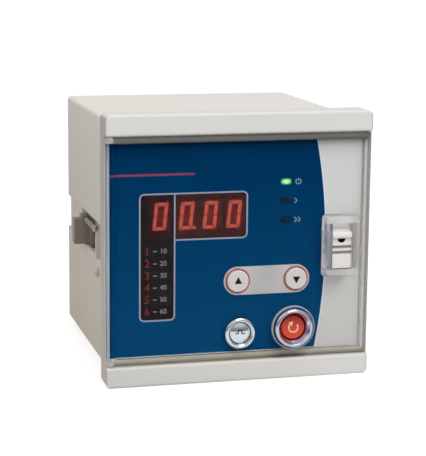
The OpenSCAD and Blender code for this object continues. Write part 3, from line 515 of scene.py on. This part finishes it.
# %% Where the cover's walls are
WALL, TRAY_HALF, RIM, HOLE_EDGE, CORNER_SHADE, SKIN = 1.9, 40.2, 0.9, 7.95, 3.0, 0.04
HOOD_LEFT, HOOD_RIGHT, HOOD_HALF, HOOD_WALL, HOOD_DEPTH = (30.4, 32.95), (40.45, 43.0), 10.7, 2.4, 4.8
HINGE_BLOCK, BAR_RADIUS, BAR_DEPTH = 2.6, 1.85, 4.3
cover_low, cover_high = box_mm("cover")
cover_x, cover_half = (cover_low.x + cover_high.x) / 2, (cover_high.x - cover_low.x) / 2
ring = centre("reset_ring")
clear_plastic, place = begin("clear_plastic")
x, y, z = spread(place)
hood = (abs(z) < HOOD_HALF) * (y < cover_low.y + HOOD_DEPTH)
hood_left, hood_right = hood * within(x, *HOOD_LEFT), hood * within(x, *HOOD_RIGHT)
hood_ends = hood * within(x, HOOD_LEFT[0], HOOD_RIGHT[1]) * (abs(z) > HOOD_HALF - HOOD_WALL)
hole_edge = near(x, z, ring.x, ring.z) < HOLE_EDGE
right_rim = x > cover_high.x - RIM
under_rail = ((z - TRAY_HALF + WALL + CORNER_SHADE) / CORNER_SHADE).clamp()
side_face = abs(x - cover_x) > cover_half - SKIN
bar_back = (x < cover_low.x + BAR_RADIUS) * (y > cover_low.y + BAR_DEPTH)
hinge_block = (abs(z) > TRAY_HALF - WALL) * (x < cover_low.x + HINGE_BLOCK)
print("cover:", [round(v, 1) for v in cover_high - cover_low], "mm")

# %% [markdown]
# ## Tint and frost
# Real refraction draws the cover's edges, and a Transparent shader for shadow rays lets the lamps through,
# as thin clear plastic does. The walls are seen along their length, where even clear plastic looks grey, so
# they get a darker tint than the plate, and part of that tint is painted light: the left wall and the hood's
# left wall are painted bluish, a painted reflection of the blue film, the bottom wall is painted warm, a
# painted reflection of the bezel, and thin bands at the top, bottom and right edges are painted shade. The
# plate just under the top rail is painted darker, a painted shadow of the rail. The trimmed edges, the hinge
# bar's back and the outer faces are a little frosted, which a Mix Shader adds over the clear finish. Without
# it, light caught between two walls would leave them black from the side.

# %% Clear cover
tint = noise(place, 30).mix(rgb(246, 249, 250), rgb(251, 252, 252))
# painted shade and reflections: the rail's shadow on the plate's top, the blue film and the bezel reflected in the
# walls, dark bands at the edges
for mask, colour in ((under_rail * under_rail, rgb(160, 158, 156)),
                     (x < cover_low.x + WALL, rgb(182, 186, 197)),
                     (z > TRAY_HALF - WALL, rgb(214, 211, 208)),
                     (z > TRAY_HALF - WALL / 4, rgb(178, 174, 170)),
                     (z < WALL - TRAY_HALF, rgb(222, 216, 207)),
                     (z < WALL / 3 - TRAY_HALF, rgb(160, 151, 141)),
                     (right_rim, rgb(164, 158, 154)),
                     (hood_left, rgb(206, 206, 214)),
                     (hood_right, rgb(214, 211, 207))):
    tint = mask.mix(tint, colour)
clear = place.node("BsdfPrincipled", None, {
    "Base Color": tint, "Roughness": noise(place, 90) * 0.03,
    "Transmission Weight": 1.0, "IOR": 1.49, "Specular Tint": (0.02, 0.02, 0.02, 1)})
frost = place.node("BsdfPrincipled", None, {
    "Base Color": noise(place, 700).mix(rgb(206, 206, 208), rgb(222, 221, 222)), "Roughness": 0.45})
frosted = reduce(Tone.most, [mask * amount for mask, amount in (
    (hole_edge, 0.42), (hood_ends, 0.42), (hood_left, 0.13), (side_face, 0.55), (hinge_block, 0.45),
    (right_rim, 0.26), (bar_back, 0.5))])
plastic = place.node("MixShader", None, {0: frosted, 1: clear, 2: frost})
passing = place.node("BsdfTransparent", None, {"Color": (0.94, 0.95, 0.95, 1)})
shadow = place.node("LightPath", out="Is Shadow Ray")
place.node("OutputMaterial", None, {"Surface": place.node("MixShader", None, {0: shadow, 1: plastic, 2: passing})})
dress(clear_plastic, "cover")

# %% [markdown]
# ## New pieces
# Printed marks are shapes of their own, a few hundredths of a millimetre thick, because a mesh keeps a
# crisp edge where a painted mask would blur. Each is drawn flat, given its thickness by an extrusion, and
# turned to face the viewer last, so its drawing stays simple.

# %% Settling a piece
MERGE, SMOOTH_ANGLE = 1e-7, math.radians(38)


def settle(name, shape, body, finish, stands_for=(), smooth=False):
    bmesh.ops.remove_doubles(shape, verts=shape.verts, dist=MERGE)
    bmesh.ops.recalc_face_normals(shape, faces=shape.faces)
    mesh = bpy.data.meshes.new(name)
    shape.to_mesh(mesh)
    open_edges = sum(1 for edge in shape.edges if len(edge.link_faces) != 2)
    shape.free()
    for polygon in mesh.polygons:
        polygon.use_smooth = smooth
    if smooth:
        mesh.set_sharp_from_angle(angle=SMOOTH_ANGLE)
    mesh.materials.append(finish)
    made = bpy.data.objects.new(name, mesh)
    bpy.context.scene.collection.objects.link(made)
    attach(made, body)
    if stands_for:
        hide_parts(*stands_for)
    print(name, len(mesh.polygons), "faces,", open_edges, "open edges")


print("points closer than", MERGE / MM, "mm are merged")

# %% [markdown]
# ## Flat shapes
# A sign is drawn in a plane, x to the right and z upwards, in millimetres. A curve object could be filled
# for it, but its faces come out long and thin, so bars are grids of one face that are scaled and moved.
# The last step turns the sign upright and lays its back on the film.

# %% Flat shapes
FRONT = Matrix.Rotation(math.radians(90), 4, "X")
INK = 0.03
film_y = box_mm("panel_film")[0].y
print("film front at", round(film_y, 2), "mm")


def thicken(shape, depth):
    sides = bmesh.ops.extrude_face_region(shape, geom=shape.faces[:])
    raised = [part for part in sides["geom"] if isinstance(part, bmesh.types.BMVert)]
    bmesh.ops.translate(shape, vec=(0, 0, depth * MM), verts=raised)
    return shape


def put(shape, x, y, z, turn=FRONT):
    bmesh.ops.transform(shape, matrix=Matrix.Translation((x * MM, y * MM, z * MM)) @ turn, verts=shape.verts)
    return shape


def print_on_film(name, shape, finish, x=0, z=0):
    settle(name, put(thicken(shape, INK), x, film_y, z), "housing", finish)


def move(shape, verts, x, z):
    bmesh.ops.translate(shape, vec=(x * MM, z * MM, 0), verts=verts)


def add_bar(shape, x0, z0, x1, z1):
    made = bmesh.ops.create_grid(shape, x_segments=1, y_segments=1, size=0.5)["verts"]
    bmesh.ops.scale(shape, vec=((x1 - x0) * MM, (z1 - z0) * MM, 1), verts=made)
    move(shape, made, (x0 + x1) / 2, (z0 + z1) / 2)
    return made


# %% [markdown]
# ## Inks
# Screen printing leaves a thin, slightly uneven layer with little shine. A flat colour would look like a
# sticker, and a scanned print isn't needed at this size: two tones close to each other and a noise between
# them are enough.

# %% Inks
UNEVEN = 6


def ink(name, *colour):
    dark, light = rgb(*(value - UNEVEN for value in colour)), rgb(*(value + UNEVEN for value in colour))
    material, place = begin(name)
    print(name, "of", colour, "give or take", UNEVEN)
    return surface(material, place, {
        "Base Color": noise(place, 900).mix(dark, light),
        "Roughness": 0.5 + sway(place, 1500, 0.1), "Specular IOR Level": 0.1})


pale_ink = ink("pale_ink", 150, 156, 172)
black_ink = ink("black_ink", 26, 26, 27)
red_ink = ink("red_ink", 128, 40, 44)
cream_ink = ink("cream_ink", 244, 196, 150)
label_ink = ink("label_ink", 150, 176, 200)
grey_ink = ink("grey_ink", 142, 142, 146)

# %% [markdown]
# ## Frame of the window
# A pale printed line goes round the L-shaped window, and one more divides the column from the block. A
# grid of one face with its corners bevelled gives a rounded outline, an inset gives the line's width, and
# cuts along one level keep the top of the wide outline and the lower ends of both.


# %% Window frame
def outline(x0, z0, x1, z1, corner, width):
    shape = bmesh.new()
    add_bar(shape, x0, z0, x1, z1)
    bmesh.ops.bevel(shape, geom=shape.verts[:], affect="VERTICES", offset=corner * MM, segments=6,
                    profile=0.5, material=-1)
    inner = shape.faces[:]
    bmesh.ops.inset_region(shape, faces=inner, thickness=width * MM, use_even_offset=True, use_boundary=True)
    bmesh.ops.delete(shape, geom=inner, context="FACES")
    return shape


def cut(shape, spot, away):
    bmesh.ops.bisect_plane(shape, geom=shape.verts[:] + shape.edges[:] + shape.faces[:], dist=1e-8,
                           plane_co=[v * MM for v in spot], plane_no=away, clear_outer=True)
    return shape


def join(shape, part):
    mesh = bpy.data.meshes.new("part")
    part.to_mesh(mesh)
    part.free()
    shape.from_mesh(mesh)
    bpy.data.meshes.remove(mesh)


LINE, CORNER, BLOCK_HEIGHT = 0.55, 1.9, 16.4
half = LINE / 2
window_low, window_high = box_mm("display_window")
left, top = window_low.x - half, window_high.z + half
seam = (0, window_high.z - CORNER - 1, 0)
wide = (left, window_high.z - BLOCK_HEIGHT - half, window_high.x + half, top, CORNER, LINE)
column = (left, window_low.z - half, divider_x + half, top, CORNER, LINE)
lines = bmesh.new()
join(lines, cut(outline(*column), seam, (0, 1, 0)))
join(lines, cut(outline(*wide), seam, (0, -1, 0)))
join(lines, cut(cut(outline(*wide), seam, (0, 1, 0)), (divider_x + half, 0, 0), (-1, 0, 0)))
add_bar(lines, divider_x - half, seam[1], divider_x + half, window_high.z - half)
bmesh.ops.remove_doubles(lines, verts=lines.verts, dist=MERGE)
print_on_film("window_frame", lines, pale_ink)

# %% [markdown]
# ## Scale beside the first digit
# The column carries a plain scale from 1 to 6. Text becomes a mesh before it is placed, so that its
# place lies in its points as for every other piece.


# %% Scale
def add_text(shape, words, size, x, z):
    curve = bpy.data.curves.new("words", "FONT")
    curve.body, curve.size, curve.align_x, curve.align_y = words, size * MM, "CENTER", "CENTER"
    curve.resolution_u = 3
    made = bpy.data.objects.new("words", curve)
    bpy.context.scene.collection.objects.link(made)
    bpy.context.view_layer.update()
    mesh = bpy.data.meshes.new_from_object(made.evaluated_get(bpy.context.evaluated_depsgraph_get()))
    mesh.transform(Matrix.Translation((x * MM, z * MM, 0)))
    shape.from_mesh(mesh)
    bpy.data.objects.remove(made)
    bpy.data.curves.remove(curve)
    bpy.data.meshes.remove(mesh)


ROWS = [-0.4, -4.8, -9.1, -13.4, -17.7, -22.0]
NUMBER_X, NUMBER_SIZE, VALUE_X, VALUE_SIZE = -32.7, 4.0, -26.9, 2.5
TICK_LEFT, TICK_RIGHT, TICK_HALF = -30.6, -29.2, 0.14
numbers, values = bmesh.new(), bmesh.new()
for row, z_row in enumerate(ROWS, 1):
    add_text(numbers, str(row), NUMBER_SIZE, NUMBER_X, z_row)
    add_bar(values, TICK_LEFT, z_row - TICK_HALF, TICK_RIGHT, z_row + TICK_HALF)
    add_text(values, str(10 * row), VALUE_SIZE, VALUE_X, z_row)
print_on_film("scale_numbers", numbers, red_ink)
print_on_film("scale_values", values, grey_ink)

# %% [markdown]
# ## Lit digits
# The display shows noughts. A font could write them, but a real digit is made of bars with slits between
# them. So each bar is a grid of one face with the inner side drawn in, neighbours meet on a mitre and the
# corner stays square. A lean of six degrees is a shear of the whole set.

# %% Lit digits
DIGIT_W, DIGIT_H, BAR, LEAN, SLIT = 4.8, 9.8, 1.25, math.tan(math.radians(6)), 0.2
POINT, POINT_GAP = 0.6, 0.3
SHEAR = Matrix(((1, LEAN, 0, 0), (0, 1, 0, 0), (0, 0, 1, 0), (0, 0, 0, 1)))


def turn_flat(shape, verts, angle):
    bmesh.ops.rotate(shape, cent=(0, 0, 0), matrix=Matrix.Rotation(angle, 3, "Z"), verts=verts)


def add_level(shape, z, length, angle):
    made = add_bar(shape, -length / 2, -BAR / 2, length / 2, BAR / 2)
    inner = [vert for vert in made if vert.co.y < 0]
    bmesh.ops.scale(shape, vec=((length - 2 * BAR) / length, 1, 1), verts=inner)
    turn_flat(shape, made, angle)
    move(shape, made, 0, z)


def add_upright(shape, x, z, side):
    made = add_bar(shape, -BAR / 2, -DIGIT_H / 4 + SLIT, BAR / 2, DIGIT_H / 4 - SLIT)
    corner = [vert for vert in made if vert.co.x * side < 0 and vert.co.y * z > 0]
    move(shape, corner, 0, -math.copysign(BAR, z))
    move(shape, made, x, z)


lit = bmesh.new()
for digit in digits:
    figure = bmesh.new()
    for sign in (-1, 1):
        add_level(figure, sign * (DIGIT_H - BAR) / 2, DIGIT_W - 2 * SLIT, 0 if sign > 0 else math.pi)
        for side in (-1, 1):
            add_upright(figure, side * (DIGIT_W - BAR) / 2, sign * DIGIT_H / 4, side)
    bmesh.ops.transform(figure, matrix=SHEAR, verts=figure.verts)
    move(figure, figure.verts, digit.x, 0)
    join(lit, figure)
point = bmesh.ops.create_circle(lit, cap_ends=True, segments=20, radius=POINT * MM)["verts"]
move(lit, point, digits[1].x + DIGIT_W / 2 + POINT_GAP, POINT - DIGIT_H / 2)
segment_low, segment_high = box_mm("lit_segments")
put(thicken(lit, segment_high.y - segment_low.y), 0, segment_high.y, digit_z)
settle("lit_digits", lit, "housing", lit_red, ("lit_segments",))

# %% [markdown]
# ## Marks on the keys
# The keys carry plain triangles. A circle of three segments is one, which saves working out its corners.
# They ride on the keys' own bodies, so that a pressed key takes its mark along.

# %% Triangles
KEY_MARK, KEY_STRETCH = 1.6, 1.05


def add_triangle(shape, x, z, radius, angle, stretch=1.0):
    made = bmesh.ops.create_circle(shape, cap_ends=True, segments=3, radius=radius * MM)["verts"]
    turn_flat(shape, made, angle)
    bmesh.ops.scale(shape, vec=(1, stretch, 1), verts=made)
    move(shape, made, x, z)


for name, angle in (("up_key", 0), ("down_key", math.pi)):
    shape = bmesh.new()
    add_triangle(shape, 0, 0, KEY_MARK, angle, KEY_STRETCH)
    put(thicken(shape, INK), keys[name].x, box_mm(name)[0].y, key_z)
    settle(name + "_mark", shape, name, black_ink)

# %% [markdown]
# ## Turned chrome buttons
# The bushes and caps of both push buttons are turned on a lathe, so a spun outline is the natural way to
# make them, where stacked cylinders would leave a seam at each step. A quarter round gives the outline its
# rolled rim, and the sharp edges that stay are bevelled after the spin.


# %% Helpers for turned pieces
def turned(outline_points, closed=True, steps=96):
    shape = bmesh.new()
    points = [shape.verts.new((r * MM, 0, h * MM)) for r, h in outline_points]
    pairs = list(zip(points, points[1:])) + ([(points[-1], points[0])] if closed else [])
    edges = [shape.edges.new(pair) for pair in pairs]
    bmesh.ops.spin(shape, geom=points + edges, cent=(0, 0, 0), axis=(0, 0, 1),
                   angle=math.tau, steps=steps, use_merge=True)
    bmesh.ops.remove_doubles(shape, verts=shape.verts, dist=MERGE)
    return shape


def soften(shape, offset_mm, sharp_deg=40):
    bmesh.ops.recalc_face_normals(shape, faces=shape.faces)
    sharp = [edge for edge in shape.edges
             if len(edge.link_faces) == 2 and edge.calc_face_angle(0) > math.radians(sharp_deg)]
    bmesh.ops.bevel(shape, geom=sharp, affect="EDGES", offset=offset_mm * MM, segments=3, profile=0.5,
                    material=-1)
    return shape


def quarter(radius, height, size, steps=8):
    return [(radius - size + size * math.cos(a), height - size + size * math.sin(a))
            for a in (math.pi / 2 * i / steps for i in range(steps + 1))]


print("a quarter round has", len(quarter(1, 1, 1)), "points")

# %% [markdown]
# ## Bushes
# A bush is the chromed collar that guides its cap, with a neck through the panel. Its bore could be cut with
# a Boolean, but a closed outline already has the bore as its inner side. Its edges are softened, since
# polished chrome never ends in a sharp corner.

# %% Bushes
NECK_LENGTH, LIP, STEP, BUSH_EDGE = 4.95, 0.15, 0.2, 0.12


def bush(name, finish, radius, bore, neck, height, rim, funnel):
    points = [(bore, -NECK_LENGTH), (neck, -NECK_LENGTH), (neck, 0), (radius, 0)]
    points += quarter(radius, height, rim)
    points += [(bore + LIP, height - funnel), (bore, height - funnel - STEP)]
    shape = put(soften(turned(points), BUSH_EDGE), centre(name).x, film_y, centre(name).z)
    settle(name + "_bush", shape, "housing", finish, (name,), True)


bush("test_ring", chrome, radius=5.85, bore=4.1, neck=4.85, height=2.2, rim=1.3, funnel=0.5)
bush("reset_ring", reset_chrome_painted_blue, radius=7.05, bore=4.8, neck=5.55, height=5.9, rim=1.1, funnel=1.8)

# %% [markdown]
# ## Caps
# A cap is what the finger presses: a stem that reaches into the switch, a skirt and a shallow dome. A part
# of a sphere would do for the dome, but its curve is needed again for the mark on it, so it is written as
# a formula. An outline that starts and ends on the axis spins into a closed piece.

# %% Caps
STEM_RADIUS, CAP_STEPS, CAP_INSET, CAP_DROP = 1.8, 10, 0.25, 0.3
TEST_CAP, TEST_DOME, TEST_STEM = 3.9, 1.1, 4.0
RESET_CAP, RESET_DOME, RESET_STEM = 4.35, 0.35, 4.5


def dome_radius(radius, dome):
    return (radius * radius + dome * dome) / (2 * dome)


def cap(name, radius, dome, stem, finish):
    low, high = box_mm(name)
    rear, front = film_y - high.y, film_y - low.y
    skirt, bow = rear + stem, dome_radius(radius, dome)
    points = [(0, rear), (STEM_RADIUS, rear), (STEM_RADIUS, skirt), (radius, skirt),
              (radius, front - dome - CAP_DROP)]
    for step in range(CAP_STEPS + 1):
        reach = (radius - CAP_INSET) * (1 - step / CAP_STEPS)
        points.append((reach, front - reach * reach / (2 * bow)))
    shape = put(turned(points, closed=False), centre(name).x, film_y, centre(name).z)
    settle(name + "_cap", shape, name, finish, (name,), True)


cap("test_button", TEST_CAP, TEST_DOME, TEST_STEM, chrome)
cap("reset_button", RESET_CAP, RESET_DOME, RESET_STEM, red_cap)

# %% [markdown]
# ## Pulse on the test button
# The test button carries a black pulse. A Shrinkwrap modifier could fit it to the dome, but it would have to
# be applied first. So each point of the flat drawing is lowered by the dome's own curve.


# %% Pulse on the test button
def lay_on_cap(name, shape, radius, dome, finish):
    bow = dome_radius(radius, dome) * MM
    for vert in shape.verts:
        vert.co.z -= vert.co.xy.length_squared / (2 * bow)
    put(shape, centre(name).x, box_mm(name)[0].y, centre(name).z)
    settle(name + "_mark", shape, name, finish)


FOOT, HEAD, STROKE, PULSE_DEPTH = -0.1, 1.15, 0.35, 0.12
START, RISE, RISEN, FALL, FALLEN, END = -1.9, -1.1, -0.75, 0.25, 0.6, 1.7
pulse = bmesh.new()
for x0, x1 in ((START, RISE), (RISE, RISEN), (FALL, FALLEN), (FALLEN, END)):
    add_bar(pulse, x0, FOOT, x1, FOOT + STROKE)
for x0, x1 in ((RISE, RISEN), (RISEN, FALL), (FALL, FALLEN)):
    add_bar(pulse, x0, HEAD, x1, HEAD + STROKE)
for x0, x1 in ((RISE, RISEN), (FALL, FALLEN)):
    add_bar(pulse, x0, FOOT + STROKE, x1, HEAD)
bmesh.ops.remove_doubles(pulse, verts=pulse.verts, dist=MERGE)
lay_on_cap("test_button", thicken(pulse, PULSE_DEPTH), TEST_CAP, TEST_DOME, black_ink)

# %% [markdown]
# ## Arrow on the reset button
# The red cap has an arrow that turns back on itself. Text could bring such a sign, but not every font has it,
# so a short edge is spun through most of a circle and a triangle is set at its end.


# %% Arrow on the reset button
def add_arc(shape, radius, width, start, sweep, steps=24):
    ends = [shape.verts.new((r * MM * math.cos(start), r * MM * math.sin(start), 0))
            for r in (radius - width / 2, radius + width / 2)]
    edge = shape.edges.new(ends)
    bmesh.ops.spin(shape, geom=ends + [edge], cent=(0, 0, 0), axis=(0, 0, 1), angle=sweep, steps=steps)


ARROW_RADIUS, ARROW_LINE, ARROW_DEPTH = 1.7, 0.5, 0.1
ARROW_START, ARROW_SWEEP, TIP_TURN = math.radians(120), math.radians(280), math.radians(75)
TIP_X, TIP_Z, TIP_RADIUS = -0.85, 1.55, 1.05
arrow = bmesh.new()
add_arc(arrow, ARROW_RADIUS, ARROW_LINE, ARROW_START, ARROW_SWEEP)
add_triangle(arrow, TIP_X, TIP_Z, TIP_RADIUS, TIP_TURN)
lay_on_cap("reset_button", thicken(arrow, ARROW_DEPTH), RESET_CAP, RESET_DOME, cream_ink)

# %% [markdown]
# ## Studs on the case sides
# A round stud stands on each side just behind the bezel. A sphere sunk in the wall would come close, but the
# stud narrows at its foot, so it is spun like the buttons and then turned to look out of the side.

# %% Studs
STUD_Y, STUD_Z, SIDE = 20.5, -12.9, 45.0
STUD_RADIUS, STUD_DOME, STUD_NECK, STUD_SINK = 1.55, 1.45, 1.15, 0.5
stud_plastic = moulded("stud_plastic", rgb(190, 178, 165), rgb(202, 191, 178), 0.3, 0.3, 0.01, 0.2)
ball = [(STUD_RADIUS * math.cos(a), STUD_SINK + STUD_DOME * math.sin(a))
        for a in (math.radians(v) for v in range(-40, 90, 10))]
profile = [(0, -STUD_SINK), (STUD_NECK, -STUD_SINK)] + ball + [(0, STUD_SINK + STUD_DOME)]
for name, side in (("stud_left", -1), ("stud_right", 1)):
    outward = Matrix.Rotation(side * math.radians(90), 4, "Y")
    shape = put(turned(profile, closed=False), side * SIDE, STUD_Y, STUD_Z, outward)
    settle(name, shape, "housing", stud_plastic, (), True)

# %% [markdown]
# ## Signs beside the lamps
# Each lamp has a small sign: supply, pick-up and trip. A ring with a bar, one chevron and two chevrons
# say that without a word. They are put together from the bars and arcs that the other marks already use.

# %% Lamp signs
SIGN_X, SIGN_RADIUS, SIGN_LINE, SIGN_FOOT, SIGN_HEAD = 22.0, 0.95, 0.3, 0.1, 1.2
SIGN_START, SIGN_SWEEP = math.radians(125), math.radians(290)
CHEVRON_X, CHEVRON, CHEVRON_SPREAD = 21.2, 1.3, 0.35


def add_chevron(shape, x, z):
    for side in (-1, 1):
        arm = add_bar(shape, -CHEVRON / 2, -SIGN_LINE / 2, CHEVRON / 2, SIGN_LINE / 2)
        turn_flat(shape, arm, -side * math.radians(45))
        move(shape, arm, x, z + side * CHEVRON * CHEVRON_SPREAD)


supply = bmesh.new()
add_arc(supply, SIGN_RADIUS, SIGN_LINE, SIGN_START, SIGN_SWEEP)
add_bar(supply, -SIGN_LINE / 2, SIGN_FOOT, SIGN_LINE / 2, SIGN_HEAD)
print_on_film("supply_sign", supply, label_ink, SIGN_X, centre("supply_lamp").z)
signs = bmesh.new()
for name, count in (("pickup_lamp", 1), ("trip_lamp", 2)):
    for i in range(count):
        add_chevron(signs, CHEVRON_X + CHEVRON * i, centre(name).z)
print_on_film("pickup_and_trip_signs", signs, label_ink)

# %% [markdown]
# ## Terminal numbers
# On the rear, each terminal has its plain number on the strip's inner wall, which an installer reads
# while wiring. They face the other way, so they are turned about the upright axis.

# %% Terminal numbers
BACK = Matrix.Rotation(math.radians(180), 4, "Z") @ FRONT
TERMINALS, TERMINAL_PITCH, NUMBER_HEIGHT, FROM_EDGE, PAINT = 7, 11.0, 2.0, 1.0, 0.05
strips = (("terminal_strip_top", 1, box_mm("terminal_strip_top")[0].z + FROM_EDGE),
          ("terminal_strip_bottom", 1 + TERMINALS, box_mm("terminal_strip_bottom")[1].z - FROM_EDGE))
for strip, first, wall_z in strips:
    shape = bmesh.new()
    for i in range(TERMINALS):
        add_text(shape, str(first + i), NUMBER_HEIGHT, (i - TERMINALS // 2) * TERMINAL_PITCH, 0)
    put(thicken(shape, PAINT), 0, box_mm(strip)[1].y, wall_z, BACK)
    settle(strip + "_numbers", shape, "housing", pale_ink)

# %% [markdown]
# ## Floor
# The relay stands on white paper. A shadow catcher could stand for it, but a real floor also shows in the
# chrome and lights the underside, so a plain grid lies under the lowest point of the part.

# %% Floor
FLOOR_HALF = 4
shape = bmesh.new()
bmesh.ops.create_grid(shape, x_segments=8, y_segments=8, size=FLOOR_HALF)
bmesh.ops.translate(shape, vec=(0, 0, cad_low.z), verts=shape.verts)
mesh = bpy.data.meshes.new("floor")
shape.to_mesh(mesh)
shape.free()
floor = bpy.data.objects.new("floor", mesh)
bpy.context.scene.collection.objects.link(floor)
print("floor at", round(cad_low.z / MM, 1), "mm")

# %% [markdown]
# ## Finish of the floor
# The floor keeps a soft shadow, and adds light of its own only for rays that are looking: those of the
# camera, of a reflection and of a clear wall. So the page stays white without more light on the part. A
# reflection sees the floor fade with distance, which gives chrome its dark parts, and all other rays meet
# matt paper with a dark brown patch on the left, which the camera never sees: painted shade that darkens and
# warms the light bounced onto the case's side.


# %% Finish of the floor
def ray_masks(start):
    ways = start.node("LightPath").socket.node.outputs
    looking = [Tone(start.tree, ways[f"Is {kind} Ray"]) for kind in ("Camera", "Glossy", "Transmission")]
    return reduce(Tone.most, looking), Tone(start.tree, ways["Glossy Depth"]) < 0.5


PAGE_START, PAGE_FADE, FAR_SHADE, PAGE_GLOW = 130, 300, 0.8, 0.8
SHADE_PATCH_X, SHADE_PATCH_Y, SHADE_PATCH_START, SHADE_PATCH_FADE = -140, 80, 60, 140
material, place = begin("white_floor")
looked, direct = ray_masks(place)
x, y, z = spread(place)
fade = 1 - ((near(x, y, 0, 0) - PAGE_START) / PAGE_FADE).clamp() * FAR_SHADE
# painted shade: a dark brown patch on the floor, seen only by bounced light, darkens and warms the case's left
# side
shade_patch = ((near(x, y, SHADE_PATCH_X, SHADE_PATCH_Y) - SHADE_PATCH_START) / SHADE_PATCH_FADE).clamp()
matt = place.node("BsdfDiffuse", None, {"Color": shade_patch.mix((0.22, 0.16, 0.09, 1), (0.76, 0.76, 0.75, 1))})
page = place.node("AddShader", None, {
    0: place.node("BsdfDiffuse", None, {"Color": direct.mix((0.25, 0.25, 0.25, 1), (0.33, 0.33, 0.33, 1))}),
    1: place.node("Emission", None, {"Color": (1, 1, 1, 1), "Strength": direct.most(fade) * PAGE_GLOW})})
place.node("OutputMaterial", None, {"Surface": place.node("MixShader", None, {0: looked, 1: matt, 2: page})})
mesh.materials.append(material)
print(material.name, "has", len(place.tree.nodes), "nodes")

# %% [markdown]
# ## World
# A product picture on white has soft light from all round. An image of a studio could give it, but no image
# is needed: the world is white where it is looked at directly, and graded like a room in reflections.

# %% World
scene = bpy.context.scene
scene.view_settings.view_transform = "Standard"
world = bpy.data.worlds.new("studio")
scene.world = world
world.use_nodes = True
world.node_tree.nodes.clear()
AMBIENT, ROOM_START, ROOM_FADE, ROOM_LOW = 0.76, 0.15, 0.5, 0.25
sky = Tone(world.node_tree)
looked, direct = ray_masks(sky)
heading = sky.node("TexCoord", out="Generated")
height = sky.node("SeparateXYZ", None, {0: heading}, "Z")
room = ((height - ROOM_START) / ROOM_FADE).clamp() * (1 - ROOM_LOW) + ROOM_LOW
sky.node("OutputWorld", None, {"Surface": sky.node("Background", None, {
    "Color": (1, 1, 1, 1), "Strength": AMBIENT + looked * (direct.most(room) - AMBIENT)})})
print("light from all round:", AMBIENT)

# %% [markdown]
# ## Lamps
# One large lamp stands above and in front, and a weak one on the left lifts the case's side. Area lamps give
# soft shadows, where a spot would draw hard ones. Each is aimed at the part by turning its own axis towards
# the origin.


# %% Lamps
def lamp(name, spot, size, watts):
    light = bpy.data.lights.new(name, "AREA")
    light.shape, light.size, light.size_y, light.energy = "RECTANGLE", size[0], size[1], watts
    made = bpy.data.objects.new(name, light)
    made.location = spot
    made.rotation_euler = (-Vector(spot)).to_track_quat("-Z", "Y").to_euler()
    scene.collection.objects.link(made)
    print(name, watts, "W")


lamp("key_lamp", (0.2, -0.62, 0.95), (0.6, 0.5), 5.7)
lamp("side_lamp", (-0.4, 0.0, 0.2), (0.3, 0.3), 0.15)
